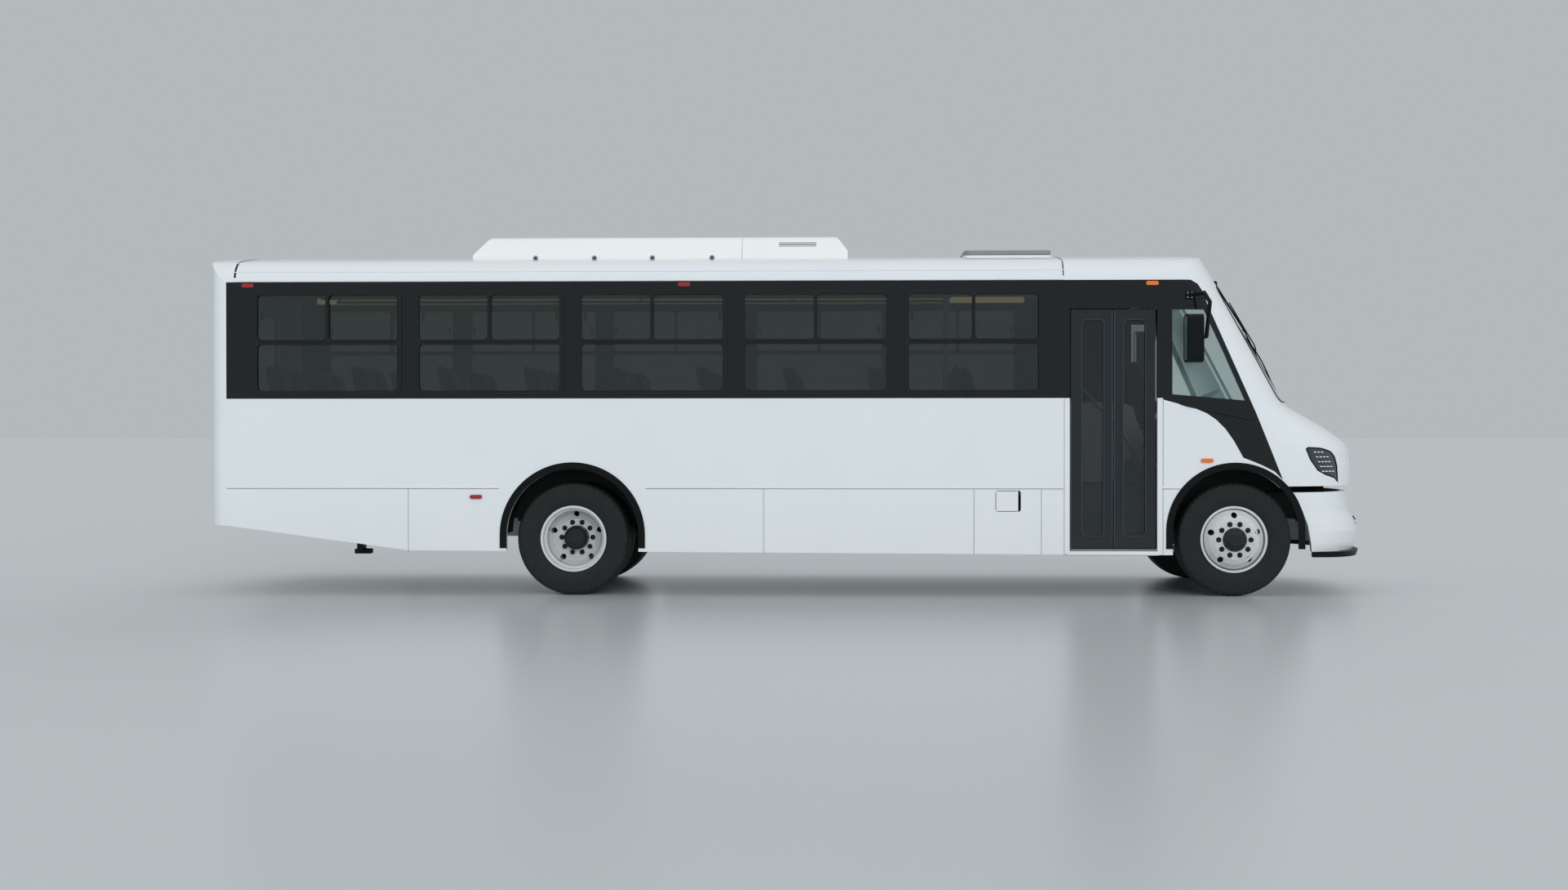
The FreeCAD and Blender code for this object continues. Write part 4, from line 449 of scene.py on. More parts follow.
# Opal diffuser over warm lamps: a soft cream glow.
COVE_DIFFUSER = Finish("warm_cove_diffuser", "#EFE0A8", "#E6D499", 0.5, 0.05, mottle_mm=300.0, grain_mm=1.5,
                       grain_depth_mm=0.03, glow=0.55)
# Light strips of the headlamp: small, cold and white.
LED_DIE = Finish("headlamp_led_strip", "#F2F6F8", "#E6ECEF", 0.2, 0.05, mottle_mm=20.0, grain_mm=1.0,
                 grain_depth_mm=0.02, glow=0.6)
# Sealant wiped into a joint: a thin mid grey line between panels. The same grey also paints the shadow line
# under each side moulding.
SEALANT_AND_SHADOW_GREY = Finish("grey_seam_sealant", "#6E7779", "#656E70", 0.6, 0.08, mottle_mm=60.0, grain_mm=1.5,
                      grain_depth_mm=0.1)

SLOT_FINISHES: Dict[str, Finish] = {
    "body_white": WHITE_ENAMEL, "body_black": BLACK_ENAMEL, "black_plastic": MOULDED_BLACK,
    "grey_plastic": GREY_PLASTIC, "frame_rubber": GASKET_RUBBER, "tinted_glass": TINTED_PANE,
    "clear_glass": CAB_PANE, "chassis_black": CHASSIS_PAINT, "floor_vinyl": FLOOR_VINYL,
    "seat_fabric": SEAT_CLOTH, "rail_metal": RAIL_STEEL, "lamp_red": RED_LENS, "lamp_amber": AMBER_LENS,
    "lamp_dark": SMOKED_LENS, "ac_white": GELCOAT, "cast_metal": CAST_IRON, "wheel_white": WHEEL_ENAMEL,
    "tyre_black": TYRE_RUBBER, "door_black": DOOR_PAINT, "step_metal": CHEQUER_STEP,
}


class Side(Enum):
    """The two long sides of the bus."""
    RIGHT = -1
    LEFT = 1


def grid_faces(count_u: int, count_v: int, round_u: bool, round_v: bool) -> Array:
    """Quads between neighbouring points of a grid.

    Args:
        count_u: points along the first parameter.
        count_v: points along the second parameter.
        round_u: whether the first parameter closes on itself.
        round_v: whether the second parameter closes on itself.

    Returns:
        Corner numbers, four to a face: point (i, j) is number i times count_v plus j.
    """
    i, j = np.meshgrid(np.arange(count_u if round_u else count_u - 1),
                       np.arange(count_v if round_v else count_v - 1), indexing="ij")
    i2, j2 = (i + 1) % count_u, (j + 1) % count_v
    corners = [i * count_v + j, i2 * count_v + j, i2 * count_v + j2, i * count_v + j2]
    return np.stack(corners, -1).reshape(-1, 4)


def grid_shape(points: Array, round_u: bool = False, round_v: bool = False) -> Shape:
    """A surface given as a grid of points.

    Args:
        points: array of count_u by count_v by 3 places in metres.
        round_u: whether the first parameter closes on itself.
        round_v: whether the second parameter closes on itself.

    Returns:
        The points as rows, and the quads between them.
    """
    count_u, count_v = points.shape[:2]
    return points.reshape(-1, 3), grid_faces(count_u, count_v, round_u, round_v)


def revolved(profile: Array, centre: Sequence[float], segments: int, outward: float = 1.0,
             closed: bool = True) -> Shape:
    """Turn a profile about a line along Y through centre.

    A point is centre plus (radius times sine, outward times run, radius times cosine) of the turn.

    Args:
        profile: rows of run along Y and radius, in metres.
        centre: x, y and z of the middle.
        segments: steps of the turn.
        outward: which way the run points along Y, 1 or -1.
        closed: whether the profile closes on itself.

    Returns:
        The shape.
    """
    turn = np.linspace(0.0, 2 * math.pi, segments, endpoint=False)[:, None]
    run, radius = profile[None, :, 0], profile[None, :, 1]
    x = centre[0] + radius * np.sin(turn)
    y = centre[1] + outward * run + 0.0 * turn
    z = centre[2] + radius * np.cos(turn)
    return grid_shape(np.stack([x, y, z], -1), round_u=True, round_v=closed)


def swept(path: Array, section: Array, up: Sequence[float] = (0.0, 0.0, 1.0), ring: bool = False,
          taper: Optional[Array] = None) -> Shape:
    """Carry a section along a path.

    A point is the path's point, plus the section's first value times the sideways direction, plus
    its second times the direction square to both. Sideways is along the path crossed with up.

    Args:
        path: places along the way, in metres.
        section: rows of sideways and upward offsets, which close on themselves.
        up: the direction that the section keeps upright by.
        ring: whether the path closes on itself.
        taper: size of the section at each place along the way.

    Returns:
        The shape, with its ends gathered to a point unless it is a ring.
    """
    path = np.asarray(path, float)
    if ring:
        along = np.roll(path, -1, 0) - np.roll(path, 1, 0)
    else:
        along = np.gradient(path, axis=0)
    along /= np.linalg.norm(along, axis=1)[:, None]
    side = np.cross(along, np.asarray(up, float))
    side /= np.linalg.norm(side, axis=1)[:, None]
    high = np.cross(side, along)
    size = np.ones(len(path)) if taper is None else np.asarray(taper, float)
    section = np.asarray(section, float)
    points = (path[:, None] + size[:, None, None] * (section[None, :, 0, None] * side[:, None]
                                                     + section[None, :, 1, None] * high[:, None]))
    if not ring:
        ends = [np.repeat(path[k][None], len(section), 0)[None] for k in (0, -1)]
        points = np.concatenate([ends[0], points, ends[1]], 0)
    return grid_shape(points, round_u=ring, round_v=True)


def rows_of(x: Numbers, y: Numbers, z: Numbers) -> Array:
    """Rows of places, from coordinates that are each an array or one number for all the rows."""
    return np.stack(np.broadcast_arrays(x, y, z), -1)


def ramp(values: Array, start: float, over: float) -> Array:
    """How far values have come from start, as a share of over, held between 0 and 1."""
    return np.clip((values - start) / over, 0, 1)


def button(low: float, edge: float, high: float, radius: float, cut: float) -> Array:
    """Half section of a chamfered button: flat foot, side up to edge, chamfer of cut, flat top."""
    return np.array([(low, 0), (low, radius), (edge, radius), (high, radius - cut), (high, 0)])


def disc_section(radius: float, count: int = 10) -> Array:
    """A round section: radius times cosine and sine of an even turn."""
    turn = np.linspace(0.0, 2 * math.pi, count, endpoint=False)
    return np.stack([radius * np.cos(turn), radius * np.sin(turn)], -1)


def soft_rect(half_u: float, half_v: float, corner: float, steps: int = 5) -> Array:
    """A rectangle with round corners, as a closed row of points.

    Each corner is a quarter circle of the corner's radius about a point set in by that radius.

    Args:
        half_u: half the width.
        half_v: half the height.
        corner: radius of the corners.
        steps: points in each corner.

    Returns:
        Rows of two offsets from the middle.
    """
    corner = min(corner, half_u, half_v)
    quarter = np.linspace(0.0, math.pi / 2, steps)
    turns = np.concatenate([quarter + k * math.pi / 2 for k in range(4)])
    sign_u = np.repeat([1, -1, -1, 1], steps)
    sign_v = np.repeat([1, 1, -1, -1], steps)
    return np.stack([sign_u * (half_u - corner) + corner * np.cos(turns),
                     sign_v * (half_v - corner) + corner * np.sin(turns)], -1)


def bead_ring(x0: float, x1: float, z0: float, z1: float, corner: float, y: float, section: Array) -> Shape:
    """A bead carried round a rectangle with round corners, in the plane at y.

    Args:
        x0: rear edge.
        x1: front edge.
        z0: lower edge.
        z1: upper edge.
        corner: radius of the corners.
        y: place of the plane.
        section: the bead's section.

    Returns:
        The shape.
    """
    flat = soft_rect((x1 - x0) / 2, (z1 - z0) / 2, corner, 6)
    path = rows_of((x0 + x1) / 2 + flat[:, 0], y, (z0 + z1) / 2 + flat[:, 1])
    return swept(path, section, (0.0, 1.0, 0.0), ring=True)


def soft_box(centre: Sequence[float], half: Sequence[float], radius: float, steps: int = 3) -> Shape:
    """A box with rounded edges and corners.

    A point is a corner of the inner box plus radius times a direction of the sphere, and each
    quarter of the sphere belongs to its own corner.

    Args:
        centre: middle of the box.
        half: half its size along X, Y and Z.
        radius: how round its edges are.
        steps: points in a quarter turn.

    Returns:
        The shape, with its two poles closed to one point each.
    """
    radius = min(radius, *half)
    inner = np.asarray(half, float) - radius
    quarter = np.linspace(0.0, math.pi / 2, steps)
    turn = np.concatenate([quarter + k * math.pi / 2 for k in range(4)])
    sign_x = np.repeat([1, -1, -1, 1], steps)
    sign_y = np.repeat([1, 1, -1, -1], steps)
    rise = np.concatenate([quarter - math.pi / 2, quarter])
    sign_z = np.repeat([-1, 1], steps)
    x = sign_x[None] * inner[0] + radius * np.cos(rise)[:, None] * np.cos(turn)[None]
    y = sign_y[None] * inner[1] + radius * np.cos(rise)[:, None] * np.sin(turn)[None]
    z = (sign_z * inner[2] + radius * np.sin(rise))[:, None] + 0.0 * turn[None]
    points = np.stack([x, y, z], -1) + np.asarray(centre, float)
    caps = [np.repeat(points[k].mean(0)[None], points.shape[1], 0)[None] for k in (0, -1)]
    return grid_shape(np.concatenate([caps[0], points, caps[1]], 0), round_v=True)


def slab(outline: Array, low: float, high: float, bevel: float,
         lay: Callable[[Array, Array, Array], Array]) -> Shape:
    """A flat plate with a closed outline, a small bevel and both faces closed to their middle.

    Each ring is the outline shrunk towards its middle: by the whole of it at the middle of a face,
    by the bevel at the rim of a face, and by nothing at the plate's edge.

    Args:
        outline: closed row of two offsets.
        low: where the lower face lies.
        high: where the upper face lies.
        bevel: width and height of the bevel.
        lay: turns first offset, second offset and height into places.

    Returns:
        The shape.
    """
    middle = outline.mean(0)
    reach = np.abs(outline - middle).max()
    shrink = np.array([1.0, bevel / reach, 0.0, 0.0, bevel / reach, 1.0])
    heights = np.array([low, low, low + bevel, high - bevel, high, high])
    rows = outline[None] + (middle - outline)[None] * shrink[:, None, None]
    flat = np.broadcast_to(heights[:, None], rows.shape[:2])
    return grid_shape(lay(rows[..., 0], rows[..., 1], flat), round_v=True)


def mirrored(shape: Shape) -> Shape:
    """The same shape on the other side of the bus, with its faces turned back outwards."""
    points, faces = shape
    return points * np.array([1.0, -1.0, 1.0]), faces[:, ::-1]


def moved(shape: Shape, by: Sequence[float]) -> Shape:
    """The shape shifted by a distance along X, Y and Z."""
    return shape[0] + np.asarray(by, float), shape[1]


def spun(shape: Shape, centre: Sequence[float], turn: float) -> Shape:
    """Turn a shape about a line along Y through centre.

    A place's offset from the centre turns in the side view by cosine and sine of the turn.

    Args:
        shape: what is turned.
        centre: a place on the line.
        turn: angle in radians.

    Returns:
        The turned shape.
    """
    points = shape[0] - np.asarray(centre, float)
    cosine, sine = math.cos(turn), math.sin(turn)
    x = cosine * points[:, 0] + sine * points[:, 2]
    z = -sine * points[:, 0] + cosine * points[:, 2]
    return np.stack([x, points[:, 1], z], -1) + np.asarray(centre, float), shape[1]


@dataclass
class Piece:
    """Shapes gathered into one object that rides on one body and has one finish."""
    name: str
    body: str
    slot: str
    finish: Finish
    smooth_deg: float = 35.0
    shapes: List[Shape] = field(default_factory=list)

    def add(self, *shapes: Shape) -> "Piece":
        """Take in more shapes and give the piece back."""
        self.shapes.extend(shapes)
        return self

    def add_both(self, *shapes: Shape) -> "Piece":
        """Take in shapes and the same ones on the other side of the bus.

        Args:
            shapes: shapes of one side.

        Returns:
            The piece.
        """
        for shape in shapes:
            self.shapes += [shape, mirrored(shape)]
        return self

    def mesh(self) -> bpy.types.Mesh:
        """Join the shapes, close their seams and poles and turn their faces outwards.

        Returns:
            The mesh, with smooth faces and edges sharper than smooth_deg kept sharp.
        """
        counts = np.cumsum([0] + [len(points) for points, _ in self.shapes])[:-1]
        points = np.concatenate([points for points, _ in self.shapes])
        faces = np.concatenate([faces + start for (_, faces), start in zip(self.shapes, counts)])
        mesh = bpy.data.meshes.new(self.name)
        mesh.from_pydata(points.tolist(), [], faces.tolist())
        work = bmesh.new()
        work.from_mesh(mesh)
        bmesh.ops.remove_doubles(work, verts=work.verts, dist=1e-6)
        bmesh.ops.dissolve_degenerate(work, edges=work.edges, dist=1e-7)
        bmesh.ops.recalc_face_normals(work, faces=work.faces)
        work.to_mesh(mesh)
        work.free()
        mesh.polygons.foreach_set("use_smooth", np.ones(len(mesh.polygons), bool))
        mesh.set_sharp_from_angle(angle=math.radians(self.smooth_deg))
        return mesh

    def build(self, *replaced: str) -> bpy.types.Object:
        """Make the object, dress it and let it ride.

        Args:
            replaced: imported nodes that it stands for.

        Returns:
            The object.
        """
        obj = bpy.data.objects.new(self.name, self.mesh())
        bpy.context.scene.collection.objects.link(obj)
        obj.data.materials.append(self.finish.build())
        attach(obj, self.body)
        if replaced:
            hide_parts(*replaced)
        log.info("%s: %d faces", self.name, len(obj.data.polygons))
        return obj


def build_filled(*pieces: Piece) -> None:
    """Make those pieces that have taken in shapes, in order."""
    for piece in pieces:
        if piece.shapes:
            piece.build()


def mesh_places(mesh: bpy.types.Mesh) -> Array:
    """Read where a mesh's vertices are.

    Args:
        mesh: the mesh.

    Returns:
        Rows of places.
    """
    flat = np.empty(len(mesh.vertices) * 3)
    mesh.vertices.foreach_get("co", flat)
    return flat.reshape(-1, 3)


def smooth_row(knots: Sequence[Sequence[float]], count: int) -> Array:
    """Points at even steps of a smooth line through knots.

    Between two knots the line is the cubic whose slope at each knot is half the step between its
    neighbours, worked out for all the steps at once.

    Args:
        knots: rows of coordinates.
        count: points wanted.

    Returns:
        Rows of coordinates.
    """
    rows = np.asarray(knots, float)
    padded = np.concatenate([2 * rows[:1] - rows[1:2], rows, 2 * rows[-1:] - rows[-2:-1]])
    where = np.linspace(0, len(rows) - 1, count)
    k = np.minimum(where.astype(int), len(rows) - 2)
    t = (where - k)[:, None]
    a, b, c, d = padded[k], padded[k + 1], padded[k + 2], padded[k + 3]
    square, cube = 2 * a - 5 * b + 4 * c - d, 3 * b - a - 3 * c + d
    return 0.5 * (2 * b + (c - a) * t + square * t ** 2 + cube * t ** 3)


def joint_place(name: str) -> Triple:
    """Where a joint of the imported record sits, in metres."""
    rows = {row["name"]: row for row in frame["record"]["behaviour"]["joints"]}
    return tuple(rows[name]["pos_m"])


REAR_X = joint_place("rear_right_spin")[0]
FRONT_X = joint_place("front_right_spin")[0]
HUB_Z = joint_place("rear_right_spin")[2]
WHEEL_Y = 1.0625
ALONG = (1.0, 0.0, 0.0)
ACROSS = (0.0, 1.0, 0.0)
DOWN = (0.0, 0.0, -1.0)
# Places well outside the bus, from which trim is dropped onto it.
BESIDE_Y = -2.0
AHEAD_X = 7.0
ABOVE_Z = 4.5


@dataclass
class Tyres:
    """The six road tyres: ribbed tread with sipes at the shoulder, ridged side walls and bead.

    A tread row is a share of the half width and a drop below the tread's crown in metres. A wall row
    is a share of the half width and a share of the height from bead to crown. Grooves stand at shares
    of the half width, ridges at shares of the height, and a block's steps are shares of its length.
    """
    radius: float = 0.506
    half_width: float = 0.1375
    bead_radius: float = 0.2868
    twin_gap: float = 0.310
    tread_rows: Rows = ((0.0, 0.0), (0.30, 0.0004), (0.62, 0.002), (0.80, 0.005), (0.92, 0.016),
                        (0.975, 0.034))
    wall_rows: Rows = ((0.985, 0.70), (1.0, 0.54), (0.985, 0.38), (0.94, 0.24), (0.87, 0.12), (0.80, 0.045))
    rim_share: float = 0.74
    rim_rise: float = 0.004
    lining_rows: Rows = ((0.60, 0.0), (0.66, 0.25), (0.86, 0.55))
    liner_crown_rows: Rows = ((0.70, 0.034), (0.0, 0.030))
    grooves_at: Tuple[float, ...] = (0.2, 0.56)
    groove_reach: float = 0.045
    groove_depth: float = 0.011
    ridges_at: Tuple[float, ...] = (0.16, 0.33, 0.72, 0.80)
    ridge_reach: float = 0.018
    ridge: float = 0.0016
    sipe_depth: float = 0.006
    blocks: int = 60
    block_steps: Tuple[float, ...] = (0.0, 0.78, 0.83, 0.97)
    block_cuts: Tuple[float, ...] = (0.0, 0.0, 1.0, 1.0)
    profile_steps: int = 36

    def from_crown(self, rows: Rows) -> Array:
        """Tread rows as run and radius."""
        return np.array(rows) * (self.half_width, -1.0) + (0.0, self.radius)

    def from_bead(self, rows: Rows) -> Array:
        """Wall rows as run and radius."""
        return np.array(rows) * (self.half_width, self.radius - self.bead_radius) + (0.0, self.bead_radius)

    def half_profile(self) -> Array:
        """Outer half section from the tread's middle to the bead.

        Returns:
            Rows of run and radius at even steps of a smooth line.
        """
        rim = [(self.rim_share * self.half_width, self.bead_radius + self.rim_rise)]
        knots = np.concatenate([self.from_crown(self.tread_rows), self.from_bead(self.wall_rows), rim])
        return smooth_row(knots, self.profile_steps)

    def carcass(self, x: float, y: float) -> Shape:
        """One tyre as a closed ring.

        The radius at each point is that of the section, less a groove where the run is near one of
        four rib grooves, less a sipe where the run is near the shoulder and the turn is in the last
        fifth of a block; ridges stand out of the side wall along Y.

        Args:
            x: middle along the bus.
            y: middle across the bus.

        Returns:
            The shape.
        """
        half = self.half_profile()
        share = half[:, 0] / self.half_width
        height = (half[:, 1] - self.bead_radius) / (self.radius - self.bead_radius)
        groove = sum(np.exp(-((share - at) / self.groove_reach) ** 6) for at in self.grooves_at)
        groove = groove * self.groove_depth * ramp(height, 0.9, 0.06)
        rings = sum(np.exp(-((height - at) / self.ridge_reach) ** 4) for at in self.ridges_at) * self.ridge
        rings = rings * ramp(-height, -0.86, 0.02)
        shoulder = ramp(share, 0.70, 0.04) * ramp(height, 0.80, 0.05) * self.sipe_depth
        outer = np.stack([half[:, 0] + rings, half[:, 1] - groove], -1)
        inner = np.concatenate([self.from_bead(self.lining_rows), self.from_crown(self.liner_crown_rows)])
        half_loop = np.concatenate([outer, inner])
        fade = np.concatenate([shoulder, np.zeros(len(inner))])
        loop = np.concatenate([half_loop, half_loop[1:-1][::-1] * np.array([-1.0, 1.0])])
        fade = np.concatenate([fade, fade[1:-1][::-1]])
        turn = ((np.arange(self.blocks)[:, None] + np.array(self.block_steps)[None]) / self.blocks
                * 2 * math.pi).ravel()
        cut = np.tile(np.array(self.block_cuts), self.blocks)
        radius = loop[None, :, 1] - cut[:, None] * fade[None]
        points = np.stack([x + radius * np.sin(turn)[:, None], y + loop[None, :, 0] + 0 * radius,
                           HUB_Z + radius * np.cos(turn)[:, None]], -1)
        return grid_shape(points, round_u=True, round_v=True)

    def build(self) -> None:
        """Make a piece for each wheel body."""
        for side in Side:
            name = side.name.lower()
            y, inner_y = side.value * WHEEL_Y, side.value * (WHEEL_Y - self.twin_gap)
            Piece("front_road_tyre_" + name, "front_wheel_" + name, "tyre_black", TYRE_RUBBER, 40.0).add(
                self.carcass(FRONT_X, y)).build("tyre_front_" + name)
            Piece("rear_road_tyres_" + name, "rear_wheels_" + name, "tyre_black", TYRE_RUBBER, 40.0).add(
                self.carcass(REAR_X, y), self.carcass(REAR_X, inner_y)).build("tyres_rear_" + name)


@dataclass(frozen=True)
class WheelEnd:
    """What differs between a front wheel and a rear one.

    The cover's section is rows of run out of the disc's face and radius. The drum is given by five
    runs: its start, its edge, its nose, and then the inner skin's nose and edge.
    """
    body: str
    cover_name: str
    drum_name: str
    x: float
    face_y: float
    cover: Rows
    bolt_circle: float
    bolt_run: float
    drum_y: float
    drum_runs: Tuple[float, float, float, float, float]


WHEEL_ENDS = (
    WheelEnd("front_wheel_", "front_hub_cap_", "front_brake_drum_", FRONT_X, 1.2175,
             ((0.001, 0.1078), (0.005, 0.1074), (0.0268, 0.0972), (0.0312, 0.0812), (0.040, 0.0690),
              (0.0462, 0.0565), (0.0478, 0.0540), (0.0478, 0.0250), (0.0508, 0.0220), (0.0508, 0.0)),
             0.088, 0.0270, WHEEL_Y, (-0.055, 0.0962, 0.1165, 0.1160, 0.0958)),
    WheelEnd("rear_wheels_", "rear_hub_boss_", "rear_brake_drum_", REAR_X, 0.9195,
             ((0.0008, 0.1100), (0.010, 0.1090), (0.016, 0.1068), (0.1058, 0.1068), (0.1165, 0.0955),
              (0.1300, 0.0800), (0.1315, 0.0760), (0.1350, 0.0740), (0.1360, 0.0480), (0.1390, 0.0450),
              (0.1400, 0.0)),
             0.062, 0.136, 0.9075, (-0.245, -0.0588, -0.0385, -0.0390, -0.0594)),
)


@dataclass
class WheelFittings:
    """Nuts, studs, hub covers and brake drum skins of the four wheels."""
    nut_circle: float = 0.1425
    nut_count: int = 10
    nut_turn: float = 0.31416
    nut_radius: float = 0.0185
    nut_height: float = 0.0290
    washer_radius: float = 0.0235
    stud_radius: float = 0.0105
    stud_reach: float = 0.0365
    hub_bolt_radius: float = 0.0075
    hub_bolts: int = 8
    hub_bolt_turn: float = 0.2
    cover_skin: Pair = (0.0005, 0.0003)
    drum_radius: float = 0.2062
    drum_skin: float = 0.0007
    drum_nose: Pair = (0.1665, 0.1659)

    def ring(self, shape: Shape, centre: Sequence[float], count: int, first: float) -> List[Shape]:
        """Copies of a shape at the top of a circle, from a first turn on, evenly about the wheel's middle."""
        return [spun(shape, centre, first + 2 * math.pi * i / count) for i in range(count)]

    def nut(self, centre: Sequence[float], side: Side) -> List[Shape]:
        """Washer, chamfered hexagon and stud end at the top of the nut circle.

        Args:
            centre: middle of the wheel's disc.
            side: side of the bus.

        Returns:
            The three shapes.
        """
        at = (centre[0], centre[1], centre[2] + self.nut_circle)
        top, reach = self.nut_height, self.stud_reach
        return [revolved(section, at, corners, side.value) for section, corners in (
            (button(0, 0.004, 0.0055, self.washer_radius, 0.003), 20),
            (button(0.004, top - 0.004, top, self.nut_radius, 0.0035), 6),
            (button(top - 0.002, reach - 0.002, reach, self.stud_radius, 0.002), 12))]

    def shell(self, section: Array, centre: Sequence[float], side: Side) -> Shape:
        """A turned cover that is open at its hidden edge, given a thin inner skin.

        Args:
            section: rows of run and radius.
            centre: middle of the wheel's disc.
            side: side of the bus.

        Returns:
            The shape.
        """
        inner = section[::-1] - self.cover_skin
        inner[:, 1] = np.maximum(inner[:, 1], 0.0)
        return revolved(np.concatenate([section, inner]), centre, 48, side.value)

    def drum(self, end: WheelEnd, side: Side) -> None:
        """A cast drum skin behind the disc, seen through the hand holes.

        Args:
            end: front or rear wheel.
            side: side of the bus.
        """
        start, edge, nose, inner_nose, inner_edge = end.drum_runs
        outer, inner = self.drum_radius, self.drum_radius - self.drum_skin
        section = np.array([(start, outer), (edge, outer), (nose, self.drum_nose[0]),
                            (inner_nose, self.drum_nose[1]), (inner_edge, inner), (start, inner)])
        name = side.name.lower()
        Piece(end.drum_name + name, end.body + name, "cast_metal", CAST_IRON, 30.0).add(
            revolved(section, (end.x, side.value * end.drum_y, HUB_Z), 48, side.value)).build()

    def build(self) -> None:
        """Fit out each wheel body."""
        for side in Side:
            name, out = side.name.lower(), side.value
            for end in WHEEL_ENDS:
                body, centre = end.body + name, (end.x, out * end.face_y, HUB_Z)
                nuts = Piece(body + "_nuts", body, "cast_metal", WHEEL_NUT_STEEL, 30.0)
                for shape in self.nut(centre, side):
                    nuts.add(*self.ring(shape, centre, self.nut_count, self.nut_turn))
                nuts.build()
                hub = Piece(end.cover_name + name, body, "black_plastic", HUB_BLACK, 30.0)
                hub.add(self.shell(np.array(end.cover), centre, side))
                bolt = button(0, 0.007, 0.0085, self.hub_bolt_radius, 0.0015)
                at = (end.x, out * (end.face_y + end.bolt_run), HUB_Z + end.bolt_circle)
                hub.add(*self.ring(revolved(bolt, at, 6, out), centre, self.hub_bolts, self.hub_bolt_turn))
                hub.build()
            for end in WHEEL_ENDS:
                self.drum(end, side)


@dataclass
class SideWindows:
    """Rubber beads, rail caps and sliding-pane latches of the ten side windows."""
    spans: Rows = ((-2.879, -1.539), (-1.416, -0.076), (0.047, 1.387), (1.510, 2.850), (2.973, 4.197))
    bottom: float = 1.800
    top: float = 2.732
    rail_z: float = 2.2735
    bar: float = 0.032
    divider: float = 0.018
    corner: float = 0.038
    frame_corner: float = 0.070
    frame_inset: float = 0.006
    face_y: float = 1.257
    pane_y: float = 1.236
    bead: float = 0.0055
    latch_in: float = 0.066
    frame_bar: Triple = (0.008, 0.004, 0.003)
    latch_half: Triple = (0.011, 0.006, 0.040)
    latch_depth: float = 0.024
    grip_half: Triple = (0.018, 0.006, 0.012)
    grip_depth: float = 0.010
    latch_corner: float = 0.005
    cap_half: Pair = (0.0045, 0.005)
    cap_short: float = 0.03
    cap_corner: float = 0.003

    def openings(self, x0: float, x1: float) -> List[Tuple[float, float, float, float]]:
        """The three glazed openings of one window.

        Args:
            x0: rear edge of its frame.
            x1: front edge of its frame.

        Returns:
            Rows of x from, x to, z from and z to.
        """
        middle = (x0 + x1) / 2
        low = (x0 + self.bar, x1 - self.bar, self.bottom + self.bar, self.rail_z - self.bar / 2)
        high = self.rail_z + self.bar / 2
        return [low, (x0 + self.bar, middle - self.divider / 2, high, self.top - self.bar),
                (middle + self.divider / 2, x1 - self.bar, high, self.top - self.bar)]

    def window(self, x0: float, x1: float, beads: Piece, latches: Piece, rails: Piece) -> None:
        """Add one window's fittings, and the same on the other side.

        Args:
            x0: rear edge of its frame.
            x1: front edge of its frame.
            beads: piece that takes the beads.
            latches: piece that takes the latches, on the inner face of the sliding panes.
            rails: piece that takes the cap of the middle rail.
        """
        for opening in self.openings(x0, x1):
            beads.add_both(bead_ring(*opening, self.corner, -self.face_y, disc_section(self.bead, 8)))
            beads.add_both(bead_ring(*opening, self.corner, -self.pane_y, disc_section(self.bead * 0.8, 6)))
        inset = self.frame_inset
        beads.add_both(bead_ring(x0 + inset, x1 - inset, self.bottom + inset, self.top - inset,
                                 self.frame_corner - inset, -self.face_y, soft_rect(*self.frame_bar, 2)))
        y, z = -self.pane_y + self.latch_depth, (self.rail_z + self.top) / 2
        for x in (x0 + self.latch_in, x1 - self.latch_in):
            latches.add_both(soft_box((x, y, z), self.latch_half, self.latch_corner),
                             soft_box((x, y + self.grip_depth, z), self.grip_half, self.latch_corner))
        rails.add_both(soft_box(((x0 + x1) / 2, -self.face_y, self.rail_z),
                                ((x1 - x0) / 2 - self.cap_short, *self.cap_half), self.cap_corner))

    def build(self) -> None:
        """Make the beads, the latches and the rail caps."""
        pieces = (Piece("window_glazing_beads", "body", "frame_rubber", GASKET_RUBBER, 50.0),
                  Piece("sliding_pane_latches", "body", "black_plastic", MOULDED_BLACK, 40.0),
                  Piece("window_rail_caps", "body", "frame_rubber", FRAME_ALUMINIUM, 40.0))
        for start, end in self.spans:
            self.window(REAR_X + start, REAR_X + end, *pieces)
        build_filled(*pieces)


